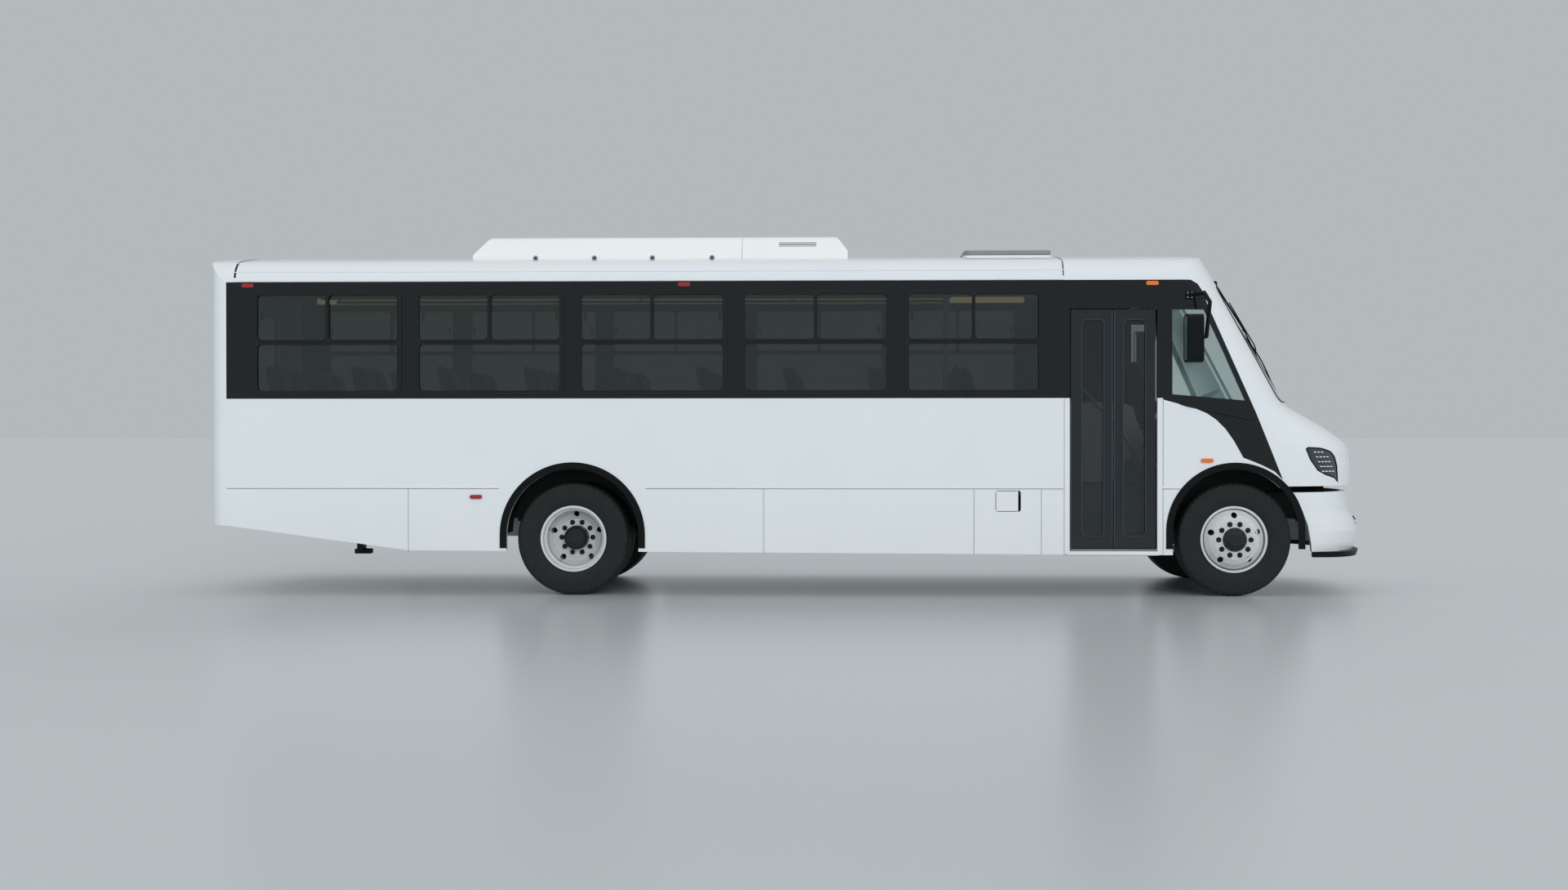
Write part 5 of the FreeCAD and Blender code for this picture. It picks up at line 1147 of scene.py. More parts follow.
@dataclass
class Seats:
    """Passenger benches of two padded places each, their steel legs, and the driver's seat.

    A place in the side view is a distance from the row's start and a height above the floor. Channels
    are shares of the half width for the lengthwise ones, and of the half length for the others.
    """
    rows: int = 9
    pitch: float = 0.780
    first_x: float = -4.651
    floor_z: float = 0.9603
    deck_z: float = 1.1753
    aisle_y: float = 0.300
    place_width: float = 0.448
    cushion_half: Triple = (0.215, 0.205, 0.052)
    cushion_at: Pair = (0.235, 0.437)
    cushion_drops: Pair = (0.006, 0.014)
    cushion_channels: Rows = ((-0.62, 0.62), (0.0,))
    back_half: Triple = (0.212, 0.345, 0.060)
    back_foot: Pair = (0.108, 0.415)
    back_head: Pair = (-0.048, 1.118)
    back_channels: Rows = ((-0.62, 0.62), (-0.30, 0.10, 0.52))
    shell_margin: float = 0.004
    shell_half_depth: float = 0.02
    shell_behind: float = 0.046
    shell_inset: float = 0.01
    piping: float = 0.006
    swell_cap: float = 0.014
    swell_pressure: float = 3.0
    swell_frames: int = 12
    leg_radius: float = 0.018
    leg_inset: float = 0.05
    wall_end_y: float = 1.19
    leg_rows: Rows = ((0.10, 0.0), (0.10, 0.30), (0.11, 0.36), (0.30, 0.36), (0.34, 0.33), (0.34, 0.0))
    cross_tubes: Rows = ((0.10, 0.355), (0.33, 0.355))
    foot_plates: Pair = (0.10, 0.34)
    foot_half: Triple = (0.04, 0.03, 0.005)
    foot_corner: float = 0.003
    driver_behind: float = 0.580
    driver_y: float = 0.640
    driver_cushion_size: Triple = (1.1, 1.06, 1.2)
    driver_cushion_rows: Rows = ((0.445, 0.355), (0.03, 0.335))
    driver_back_size: Triple = (1.1, 0.98, 1.15)
    driver_back_rows: Rows = ((0.072, 0.33), (-0.062, 0.985))
    bellows_x: float = 0.22
    bellows_heights: Tuple[float, ...] = (0.035, 0.095, 0.155, 0.215, 0.270)
    bellows_half: float = 0.150
    bellows_fold: float = 0.012
    bellows_tall: float = 0.034
    bellows_corner: float = 0.016

    def pad(self, half: Triple, channels: Rows, count_u: int, count_v: int) -> Shape:
        """A crowned closed cushion about the origin: u across, v along, and its thickness.

        The half width at v narrows by the sixth-power rule, so that the corners are round. The face
        stands off by the half thickness times (1 - u^4)^0.45 times (1 - v^6)^0.45, pulled in by a
        narrow dip along each sewn channel, and the back face is the same at six tenths.

        Args:
            half: half width, half length and half thickness.
            channels: places of the lengthwise channels, and of the crosswise ones.
            count_u: points across.
            count_v: points along.

        Returns:
            The shape, round in u and with both ends closed to a line.
        """
        u = np.sin(np.linspace(-math.pi / 2, math.pi / 2, count_u))
        v = np.sin(np.linspace(-math.pi / 2, math.pi / 2, count_v))
        wide = (1 - np.abs(v) ** 6) ** (1 / 6)
        crown = (1 - np.abs(u) ** 4)[:, None] ** 0.45 * (1 - np.abs(v) ** 6)[None] ** 0.45
        lengthwise, crosswise = channels
        dip = sum((np.exp(-((u - at) / 0.035) ** 2)[:, None] + 0 * v[None] for at in lengthwise),
                  np.zeros_like(crown))
        dip = dip + sum((np.exp(-((v - at) / 0.03) ** 2)[None] + 0 * u[:, None] for at in crosswise),
                        np.zeros_like(crown))
        face = half[2] * crown - self.piping * np.clip(dip, 0, 1) * crown
        x = half[0] * u[:, None] * wide[None]
        y = half[1] * v[None] + 0 * x
        front = np.stack([x, y, face], -1)
        rear = np.stack([x, y, -0.6 * half[2] * crown], -1)[::-1]
        return grid_shape(np.concatenate([front, rear[1:-1]], 0), round_u=True)

    def swollen(self, shape: Shape) -> Shape:
        """Fill the pad with foam: cloth pushed out from inside for a few frames, by no more than swell_cap.

        Args:
            shape: the pad before it is filled.

        Returns:
            The same faces with the places of the filled pad.
        """
        mesh = bpy.data.meshes.new("pad_trial")
        mesh.from_pydata(shape[0].tolist(), [], shape[1].tolist())
        trial = bpy.data.objects.new("pad_trial", mesh)
        bpy.context.scene.collection.objects.link(trial)
        weld = trial.modifiers.new("weld", "WELD")
        weld.merge_threshold = 1e-5
        bpy.context.view_layer.update()
        welded = bpy.data.meshes.new_from_object(trial.evaluated_get(bpy.context.evaluated_depsgraph_get()))
        trial.modifiers.clear()
        trial.data = welded
        start = mesh_places(welded)
        cloth = trial.modifiers.new("foam", "CLOTH")
        cloth.settings.use_pressure = True
        cloth.settings.uniform_pressure_force = self.swell_pressure
        cloth.settings.effector_weights.gravity = 0.0
        cloth.settings.quality = 5
        for number in range(1, self.swell_frames + 1):
            bpy.context.scene.frame_set(number)
        filled = bpy.data.meshes.new_from_object(trial.evaluated_get(bpy.context.evaluated_depsgraph_get()))
        step = mesh_places(filled) - start
        reach = np.linalg.norm(step, axis=1)
        step *= np.minimum(1.0, self.swell_cap / np.maximum(reach, 1e-9))[:, None]
        faces = np.array([list(face.vertices) for face in filled.polygons if len(face.vertices) == 4])
        triangles = [list(face.vertices) for face in filled.polygons if len(face.vertices) == 3]
        if triangles:
            corners = np.array(triangles)
            faces = np.concatenate([faces, np.concatenate([corners, corners[:, 2:]], 1)])
        bpy.context.scene.frame_set(1)
        bpy.data.objects.remove(trial)
        return start + step, faces

    def laid(self, shape: Shape, foot: Pair, head: Pair, y: float,
             x: float) -> Shape:
        """Stand a pad up between two places of the side view, across the bus at y.

        Args:
            shape: pad about the origin.
            foot: place of its lower end.
            head: place of its upper end.
            y: middle across the bus.
            x: start of the row.

        Returns:
            The shape in its place.
        """
        foot, head = np.asarray(foot), np.asarray(head)
        along = (head - foot) / np.linalg.norm(head - foot)
        middle = (foot + head) / 2
        across = np.array([along[1], -along[0]])
        flat = middle[None] + shape[0][:, 1:2] * along[None] + shape[0][:, 2:3] * across[None]
        return np.stack([x + flat[:, 0], y + shape[0][:, 0], self.floor_z + flat[:, 1]], -1), shape[1]

    def middles(self, side: Side) -> List[float]:
        """Middles across the bus of a bench's two places."""
        return [side.value * (self.aisle_y + (k + 0.5) * self.place_width) for k in (0, 1)]

    def frame_shapes(self, x: float, side: Side) -> List[Shape]:
        """Legs, cross tubes and foot plates of one bench.

        Args:
            x: start of the row.
            side: side of the bus.

        Returns:
            The shapes.
        """
        z, tube = self.floor_z, disc_section(self.leg_radius, 10)
        y0, y1 = side.value * (self.aisle_y + self.leg_inset), side.value * self.wall_end_y
        leg = np.array(self.leg_rows)
        shapes = [swept(smooth_row(rows_of(x + leg[:, 0], y0, z + leg[:, 1]), 26), tube, ACROSS)]
        for along, high in self.cross_tubes:
            shapes.append(swept(rows_of(x + along, np.array([y0, (y0 + y1) / 2, y1]), z + high), tube))
        for along in self.foot_plates:
            at = (x + along, y0, z + self.foot_half[2])
            shapes.append(soft_box(at, self.foot_half, self.foot_corner))
        return shapes

    def shell_shapes(self, x: float, side: Side) -> List[Shape]:
        """Moulded shells behind the backs of one bench.

        Args:
            x: start of the row.
            side: side of the bus.

        Returns:
            The two shells.
        """
        across, along = self.back_half[0] + self.shell_margin, self.back_half[1] + self.shell_margin
        shell = self.pad((across, along, self.shell_half_depth), ((), ()), 15, 15)
        foot = (self.back_foot[0] - self.shell_behind, self.back_foot[1] + self.shell_inset)
        head = (self.back_head[0] - self.shell_behind, self.back_head[1] - self.shell_inset)
        return [self.laid(shell, foot, head, y, x) for y in self.middles(side)]

    def build(self) -> None:
        """Make a piece of each bench's pads, one of the frames, one of the shells, and the driver's seat."""
        cushion = self.swollen(self.pad(self.cushion_half, self.cushion_channels, 17, 17))
        back = self.swollen(self.pad(self.back_half, self.back_channels, 17, 23))
        frames = Piece("bench_frames", "body", "rail_metal", SEAT_FRAME, 40.0)
        shells = Piece("bench_shells", "body", "grey_plastic", SEAT_SHELL, 40.0)
        (at, high), half = self.cushion_at, self.cushion_half[1]
        front, rear = (at + half, high - self.cushion_drops[0]), (at - half, high - self.cushion_drops[1])
        for side in Side:
            for i in range(self.rows):
                x = self.first_x + i * self.pitch
                name = "bench_%s_%d" % (side.name.lower(), i + 1)
                bench = Piece(name, "body", "seat_fabric", SEAT_CLOTH, 60.0)
                for y in self.middles(side):
                    bench.add(self.laid(cushion, front, rear, y, x),
                              self.laid(back, self.back_foot, self.back_head, y, x))
                bench.build()
                frames.add(*self.frame_shapes(x, side))
                shells.add(*self.shell_shapes(x, side))
        frames.build()
        shells.build()
        self.driver(cushion, back)

    def driver(self, cushion: Shape, back: Shape) -> None:
        """The driver's seat: wider pads on a suspension base with folds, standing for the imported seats.

        Args:
            cushion: seat pad about the origin.
            back: back pad about the origin.
        """
        x, y, rise = FRONT_X - self.driver_behind, self.driver_y, self.deck_z - self.floor_z
        pads = Piece("driver_seat_pads", "body", "seat_fabric", SEAT_CLOTH, 60.0)
        for (points, faces), size, rows in ((cushion, self.driver_cushion_size, self.driver_cushion_rows),
                                            (back, self.driver_back_size, self.driver_back_rows)):
            pads.add(moved(self.laid((points * np.array(size), faces), *rows, y, x), (0, 0, rise)))
        pads.build("seats")
        base = Piece("driver_seat_base", "body", "black_plastic", MOULDED_BLACK, 40.0)
        for k, high in enumerate(self.bellows_heights):
            size = self.bellows_half - self.bellows_fold * (k % 2)
            base.add(soft_box((x + self.bellows_x, y, self.deck_z + high), (size, size, self.bellows_tall),
                              self.bellows_corner))
        base.build()


def skin_tree(node: str) -> BVHTree:
    """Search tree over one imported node's faces, for seating trim on it."""
    mesh = frame["nodes"][node].data
    return BVHTree.FromPolygons(mesh_places(mesh).tolist(), [list(face.vertices) for face in mesh.polygons])


def seated(node: str, places: Array, direction: Sequence[float], lift: float = 0.0) -> Array:
    """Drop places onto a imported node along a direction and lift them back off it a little.

    Args:
        node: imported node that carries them.
        places: rows of places outside the node.
        direction: the way they fall.
        lift: how far off the skin they end, along the direction they came from.

    Returns:
        Rows of seated places, without those that miss.
    """
    tree = skin_tree(node)
    way = Vector(direction).normalized()
    hits = [tree.ray_cast(Vector(place), way)[0] for place in np.asarray(places, float)]
    return np.array([tuple(hit - way * lift) for hit in hits if hit is not None])


@dataclass
class DoorTrim:
    """Glazing beads, meeting seals and pull bars of the two door leaves."""
    face_y: float = -1.2350
    back_y: float = -1.2000
    glass_low: float = 0.539
    glass_high: float = 2.459
    glass_half: float = 0.097
    glass_margin: float = 0.002
    leaves: Tuple[Tuple[str, float, int], ...] = (("door_rear", 4.641, -1), ("door_front", 5.0085, 1))
    seam_x: float = 4.822
    seam_gap: float = 0.0035
    bead: float = 0.006
    corner: float = 0.045
    seal_low: float = 0.440
    seal_high: float = 2.545
    seal_half: Pair = (0.0055, 0.0030)
    seal_beside: float = 0.006
    seal_proud: float = 0.0015
    seal_corner: float = 0.002
    bead_proud: float = 0.001
    bar_beside: float = 0.028
    bar_rows: Rows = ((0.002, 1.02), (0.030, 1.05), (0.030, 1.45), (0.002, 1.48))
    bar_radius: float = 0.011

    def build(self) -> None:
        """Make each leaf's trim on its own moving body."""
        for body, middle, turn in self.leaves:
            x = REAR_X + middle
            trim = Piece(body + "_glazing_beads", body, "frame_rubber", DOOR_BEAD, 50.0)
            flat = soft_rect(self.glass_half + self.glass_margin,
                             (self.glass_high - self.glass_low) / 2 + self.glass_margin, self.corner, 6)
            for y in (self.face_y - self.bead_proud, self.back_y + self.bead_proud):
                path = rows_of(x + flat[:, 0], y, (self.glass_low + self.glass_high) / 2 + flat[:, 1])
                trim.add(swept(path, disc_section(self.bead, 8), ACROSS, ring=True))
            edge = REAR_X + self.seam_x + turn * (self.seam_gap + self.seal_beside)
            trim.add(soft_box((edge, self.face_y - self.seal_proud, (self.seal_low + self.seal_high) / 2),
                              (*self.seal_half, (self.seal_high - self.seal_low) / 2), self.seal_corner))
            trim.build()
            bar = np.array(self.bar_rows)
            path = smooth_row(rows_of(x - turn * (self.glass_half + self.bar_beside), self.back_y + bar[:, 0],
                                      bar[:, 1]), 18)
            Piece(body + "_pull_bar", body, "rail_metal", RAIL_STEEL, 50.0).add(
                swept(path, disc_section(self.bar_radius, 10), ALONG)).build()


@dataclass
class SideTrim:
    """Mouldings with a painted shadow line under each, panel joints, the cab mask's ridge, the skirt box and
    the door sill along the sides.
    """
    wall_y: float = 1.250
    moulding_z: float = 0.969
    moulding_half: float = 0.010
    moulding_proud: float = 0.004
    moulding_runs: Rows = ((-3.120, -0.660), (0.660, 4.380), (5.250, 5.425))
    # How far below a moulding's middle its painted shadow line sits, drawn in the seam grey.
    shadow_drop: float = 0.012
    joint_half: float = 0.0015
    joint_proud: float = 0.0006
    seams: Tuple[float, ...] = (-1.478, 1.715, 3.589, 4.185)
    seam_half: float = 0.0017
    seam_foot: float = 0.374
    seam_head: float = 0.957
    rear_seam_rise: float = 0.01
    jambs: Tuple[float, ...] = (4.387, 4.445, 5.209, 5.26)
    jamb_head: float = 1.762
    ridge: Rows = ((5.308, 1.731), (5.553, 1.684), (5.804, 1.626), (6.07, 1.572))
    ridge_radius: float = 0.015
    ridge_steps: int = 16
    strip_bed: float = 0.002
    sill: Triple = (4.436, 5.208, 0.386)
    sill_over: float = 0.02
    sill_half: Pair = (0.008, 0.018)
    sill_corner: float = 0.004
    tread_z: float = 0.4245
    tread_first_y: float = -1.205
    tread_pitch: float = 0.02
    tread_ribs: int = 5
    tread_short: float = 0.03
    tread_half: Pair = (0.005, 0.003)
    tread_corner: float = 0.002
    box_x: float = -1.930
    box_at: Pair = (-1.05, 0.385)
    box_half: Triple = (0.075, 0.05, 0.022)
    box_corner: float = 0.008
    bracket_at: Pair = (-1.127, 0.437)
    bracket_half: Triple = (0.025, 0.078, 0.040)
    bracket_corner: float = 0.004

    def line(self, x0: float, x1: float, z0: float, z1: float, wide: float, proud: float) -> Shape:
        """A soft-edged strip laid on the near wall between two places, in metres from the rear axle."""
        half = (max(wide, abs(x1 - x0) / 2), proud / 2 + self.strip_bed, max(wide, abs(z1 - z0) / 2))
        return soft_box((REAR_X + (x0 + x1) / 2, -self.wall_y - proud / 2, (z0 + z1) / 2), half, proud)

    def walls(self) -> None:
        """Mouldings with a painted shadow line under each, upright skirt seams, door jamb joints and the sill
        strip.
        """
        strips = Piece("side_mouldings", "body", "body_white", WHITE_ENAMEL, 40.0)
        # One piece in seam grey: the real panel and jamb joints, and a painted shadow line under each
        # moulding.
        joints = Piece("skirt_panel_joints", "body", "frame_rubber", SEALANT_AND_SHADOW_GREY, 40.0)
        z, under = self.moulding_z, self.moulding_z - self.shadow_drop
        for x0, x1 in self.moulding_runs:
            strips.add_both(self.line(x0, x1, z, z, self.moulding_half, self.moulding_proud))
            # Painted shadow: a thin grey line along the moulding's lower edge, where its shade falls.
            joints.add_both(self.line(x0, x1, under, under, self.joint_half, self.joint_proud))
        for x in self.seams:
            low = self.seam_foot if x > self.seams[0] else self.seam_foot + self.rear_seam_rise
            joints.add_both(self.line(x, x, low, self.seam_head, self.seam_half, self.joint_proud))
        for x in self.jambs:
            joints.add(self.line(x, x, self.seam_foot, self.jamb_head, self.joint_half, self.joint_proud))
        x0, x1, z = self.sill
        strips.add(soft_box((REAR_X + (x0 + x1) / 2, -self.wall_y + self.sill_corner, z),
                            ((x1 - x0) / 2 + self.sill_over, *self.sill_half), self.sill_corner))
        build_filled(strips, joints)

    def mask_ridge(self) -> None:
        """The thick ridge along the cab mask's upper edge, thinning to both ends as a sine does."""
        rows = smooth_row(self.ridge, self.ridge_steps)
        on = seated("cab_mask", rows_of(REAR_X + rows[:, 0], BESIDE_Y, rows[:, 1]), ACROSS)
        if len(on) > self.ridge_steps // 2:
            taper = np.clip(np.sin(np.linspace(0.12, math.pi - 0.12, len(on))) * 2.5, 0.3, 1.0)
            Piece("cab_mask_ridges", "body", "body_black", BLACK_ENAMEL, 60.0).add_both(
                swept(on, disc_section(self.ridge_radius, 12), taper=taper)).build()

    def build(self) -> None:
        """Make the walls' trim, the ridges, the box under the skirt and the tread on the door sill."""
        self.walls()
        self.mask_ridge()
        box = Piece("skirt_junction_box", "body", "black_plastic", MOULDED_BLACK, 40.0)
        x = REAR_X + self.box_x
        box.add_both(soft_box((x, *self.box_at), self.box_half, self.box_corner),
                     soft_box((x, *self.bracket_at), self.bracket_half, self.bracket_corner)).build()
        rubber = Piece("door_sill_tread", "body", "black_plastic", MOULDED_BLACK, 40.0)
        x0, x1, _ = self.sill
        for k in range(self.tread_ribs):
            y = self.tread_first_y + self.tread_pitch * k
            rubber.add(soft_box((REAR_X + (x0 + x1) / 2, y, self.tread_z),
                                ((x1 - x0) / 2 - self.tread_short, *self.tread_half), self.tread_corner))
        rubber.build()


@dataclass
class FrontFace:
    """Lamp diodes and rims, the bumper's grid, the boards behind both openings and the screens' rubbers.

    A screen is its half width, foot, head, corner radius and how much narrower each half is at its head.
    A board is its node, height, half height, distance behind the node's nose and share of the half span.
    """
    lamp_outline: Rows = (
        (0.640, 1.308), (0.662, 1.326), (0.793, 1.319), (0.892, 1.289), (0.941, 1.239), (0.965, 1.160),
        (0.977, 1.012), (0.934, 1.053), (0.834, 1.084), (0.756, 1.124), (0.686, 1.213))
    lamp_beside_y: float = -1.6
    rim_share: float = 0.965
    rim_radius: float = 0.006
    rim_points: int = 60
    rows: int = 5
    row_top: float = 1.285
    row_pitch: float = 0.043
    row_start: float = 0.720
    row_shift: float = 0.0204
    diode_pitch: float = 0.036
    diode_length: float = 0.022
    diode_fall: float = 0.15
    diode_bar: Triple = (0.0030, 0.0022, 0.0012)
    diode_lift: float = 0.0012
    rim_lift: float = 0.001
    bow: float = 0.16
    mouth_low: float = 0.520
    mouth_high: float = 0.690
    mouth_middle: float = 0.605
    mouth_half: float = 0.500
    level_bars: int = 4
    level_bar: Triple = (0.010, 0.005, 0.004)
    level_behind: float = 0.030
    level_inset: float = 0.028
    upright_bars: int = 15
    upright_bar: Triple = (0.004, 0.006, 0.003)
    upright_behind: float = 0.036
    upright_insets: Pair = (0.06, 0.004)
    board_skin: Pair = (0.003, 0.002)
    rubber_bar: Triple = (0.007, 0.011, 0.005)
    board_half: float = 0.60
    boards: Tuple[Tuple[str, float, float, float, float], ...] = (
        ("grille", 1.128, 0.135, 0.075, 1.0), ("front_bumper", 0.605, 0.082, 0.120, 0.86))
    front_screen: Tuple[float, float, float, float, float] = (1.004, 1.734, 2.778, 0.075, 0.060)
    rear_screen: Tuple[float, float, float, float, float] = (0.874, 1.836, 2.614, 0.085, 0.0)

    def rim(self) -> Piece:
        """A black rim on each headlamp's lens, the outline drawn in a little towards its middle.

        Returns:
            The piece, not made yet.
        """
        rims = Piece("headlamp_rims", "body", "black_plastic", MOULDED_BLACK, 40.0)
        rim = smooth_row(list(self.lamp_outline) + [self.lamp_outline[0]], self.rim_points)[:-1]
        middle = rim.mean(0)
        rim = middle + (rim - middle) * self.rim_share
        start = rows_of(FRONT_X + rim[:, 0], self.lamp_beside_y, rim[:, 1])
        found = seated("headlamps", start, ACROSS, self.rim_lift)
        if len(found) > 2 * self.rim_points // 3:
            rims.add_both(swept(found, disc_section(self.rim_radius, 8), ACROSS, ring=True))
        return rims

    def diodes(self) -> Piece:
        """Stair rows of short light strips in each headlamp, three in the first row and four in the rest.

        Returns:
            The piece, not made yet.
        """
        diodes = Piece("headlamp_diode_strips", "body", "lamp_dark", LED_DIE, 40.0)
        along = np.linspace(0.0, self.diode_length, 4)
        for row in range(self.rows):
            z = self.row_top - row * self.row_pitch
            for k in range(3 + (row > 0)):
                x = FRONT_X + self.row_start + row * self.row_shift + k * self.diode_pitch
                path = rows_of(x + along, self.lamp_beside_y, z - self.diode_fall * along)
                on = seated("headlamps", path, ACROSS, self.diode_lift)
                if len(on) == len(along):
                    diodes.add_both(swept(on, soft_rect(*self.diode_bar, 3)))
        return diodes

    def mouth(self) -> Piece:
        """Crossed black bars behind the bumper's opening, bowed back by bow times the square of y.

        Returns:
            The piece, not made yet.
        """
        grid = Piece("bumper_mouth_grid", "body", "black_plastic", MOULDED_BLACK, 40.0)
        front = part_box("front_bumper")[1][0]
        y = np.linspace(-self.mouth_half, self.mouth_half, 25)
        x = front - self.level_behind - self.bow * y ** 2
        low, high = self.mouth_low + self.level_inset, self.mouth_high - self.level_inset
        for z in np.linspace(low, high, self.level_bars):
            grid.add(swept(rows_of(x, y, z), soft_rect(*self.level_bar, 3)))
        beside, inside = self.upright_insets
        heights = np.array([self.mouth_low + inside, self.mouth_middle, self.mouth_high - inside])
        for at in np.linspace(-self.mouth_half + beside, self.mouth_half - beside, self.upright_bars):
            grid.add(swept(rows_of(front - self.upright_behind - self.bow * at ** 2, at, heights),
                           soft_rect(*self.upright_bar, 3), ALONG))
        return grid

    def frame_path(self, half: float, low: float, high: float, corner: float, narrowing: float) -> Array:
        """A rounded frame across the bus, narrower at its head.

        The half width at a height is the foot's, less narrowing times the share of the height.

        Args:
            half: half width at the foot.
            low: height of the foot.
            high: height of the head.
            corner: radius of the corners.
            narrowing: how much less the half width is at the head.

        Returns:
            Rows of y and z.
        """
        flat = soft_rect(half, (high - low) / 2, corner, 10)
        share = (flat[:, 1] + (high - low) / 2) / (high - low)
        rows = np.stack([flat[:, 0] * (1 - narrowing * share / half), (low + high) / 2 + flat[:, 1]], -1)
        spots = np.linspace(0.0, 1.0, 9)[:-1, None, None]
        return (rows[None] + spots * (np.roll(rows, -1, 0) - rows)[None]).transpose(1, 0, 2).reshape(-1, 2)

    def rubbers(self) -> Piece:
        """Rubber round the front and rear screens, on the edge of each pane.

        Returns:
            The piece, not made yet.
        """
        rubber = Piece("screen_rubbers", "body", "frame_rubber", GASKET_RUBBER, 50.0)
        for node, way, size, lift in (("windscreen", 1.0, self.front_screen, 0.004),
                                      ("window_panes", -1.0, self.rear_screen, 0.006)):
            rows = self.frame_path(*size)
            found = seated(node, rows_of(way * AHEAD_X, rows[:, 0], rows[:, 1]), (-way, 0.0, 0.0), lift)
            if len(found) == len(rows):
                rubber.add(swept(found, soft_rect(*self.rubber_bar, 3), (way, 0.0, 0.0), ring=True))
        return rubber

    def backing(self) -> Piece:
        """Dark boards behind the radiator grille and the bumper's opening.

        Returns:
            The piece, not made yet.
        """
        board = Piece("grille_backing_boards", "body", "black_plastic", MOULDED_BLACK, 40.0)
        y = np.linspace(-self.board_half, self.board_half, 21)
        for node, z, half, behind, share in self.boards:
            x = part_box(node)[1][0] - behind - self.bow * y ** 2
            thick, corner = self.board_skin
            board.add(swept(rows_of(x, y * share, z), soft_rect(thick, half, corner, 2)))
        return board

    def build(self) -> None:
        """Make the front's and rear's fittings."""
        build_filled(self.rim(), self.diodes(), self.mouth(), self.rubbers(), self.backing())


@dataclass
class MirrorsAndWipers:
    """Mirror glass with its bracket bolts, and each wiper's second arm, carrier and blade."""
    head_x: float = -0.478
    head_y: float = 1.475
    head_z: float = 2.2835
    glass_half: Pair = (0.088, 0.192)
    glass_corner: float = 0.025
    rim_radius: float = 0.005
    bolt_x: Pair = (-0.428, -0.392)
    bolt_z: Pair = (2.655, 2.695)
    bolt_section: Rows = ((0, 0), (0, 0.0085), (0.005, 0.0085), (0.0068, 0.0068), (0.0068, 0))
    foot_y: float = 1.275
    pane_levels: Triple = (-0.004, 0.0022, 0.0008)
    rim_growth: Pair = (1.02, 1.01)
    blade_low: float = 1.850
    blade_high: float = 2.430
    blade_points: int = 15
    blade_lift: float = 0.010
    blade_bar: Triple = (0.004, 0.009, 0.003)
    carrier_bar: Triple = (0.006, 0.003, 0.002)
    carrier_bow: Triple = (0.018, 0.0, 0.010)
    wiper_y: float = 0.520
    arm_heights: Tuple[float, ...] = (2.66, 2.56, 2.46, 2.36, 2.26, 2.16)
    arm_lift: float = 0.058
    arm_share: float = 0.9
    arm_radius: float = 0.006
    arm_end: Triple = (0.012, 0.0, 0.006)

    def mirrors(self) -> None:
        """Silvered panes on the rear faces of the heads, a rim round each, and four bolts a bracket."""
        outline = soft_rect(*self.glass_half, self.glass_corner, 6)
        x = FRONT_X + self.head_x
        glass = Piece("mirror_panes", "body", "black_plastic", MIRROR_GLASS, 30.0)
        glass.add_both(slab(outline, *self.pane_levels, lambda a, b, h: np.stack(
            [x - h, -self.head_y - a, self.head_z + b], -1)))
        rim = Piece("mirror_rims", "body", "black_plastic", MOULDED_BLACK, 50.0)
        grown = outline * self.rim_growth
        path = rows_of(x - 0.001, -self.head_y + grown[:, 0], self.head_z + grown[:, 1])
        rim.add_both(swept(path, disc_section(self.rim_radius, 8), ALONG, ring=True))
        bolts = Piece("mirror_bracket_bolts", "body", "rail_metal", RAIL_STEEL, 30.0)
        for along in self.bolt_x:
            for z in self.bolt_z:
                foot = (FRONT_X + along, -self.foot_y, z)
                bolts.add_both(revolved(np.array(self.bolt_section), foot, 6, -1.0))
        build_filled(glass, rim, bolts)

    def wipers(self) -> None:
        """A rubber blade under a steel carrier on the screen, with a thin second arm beside the first."""
        blades = Piece("wiper_blades", "body", "black_plastic", GASKET_RUBBER, 40.0)
        steel = Piece("wiper_carriers", "body", "black_plastic", MOULDED_BLACK, 40.0)
        count, back = self.blade_points, (-1.0, 0.0, 0.0)
        z = np.linspace(self.blade_low, self.blade_high, count)
        taper = np.clip(np.sin(np.linspace(0.03, math.pi - 0.03, count)) * 3, 0.35, 1.0)
        for side in Side:
            y = side.value * self.wiper_y
            rest = seated("windscreen", rows_of(AHEAD_X, y, z), back, self.blade_lift)
            if len(rest) < count:
                continue
            blades.add(swept(rest, soft_rect(*self.blade_bar, 3), ACROSS, taper=taper))
            rise = np.sin(np.linspace(0, math.pi, count - 4))[:, None]
            bow = rest[2:-2] + np.array(self.carrier_bow) * rise
            steel.add(swept(bow, soft_rect(*self.carrier_bar, 3), ACROSS))
            start = rows_of(AHEAD_X, y * self.arm_share, np.array(self.arm_heights))
            arm = seated("windscreen", start, back, self.arm_lift)
            if len(arm) > 3:
                arm[-1] = rest[8] + np.array(self.arm_end)
                steel.add(swept(smooth_row(arm, 24), disc_section(self.arm_radius, 8), ACROSS))
        build_filled(blades, steel)

    def build(self) -> None:
        """Make the mirrors' and wipers' fittings."""
        self.mirrors()
        self.wipers()


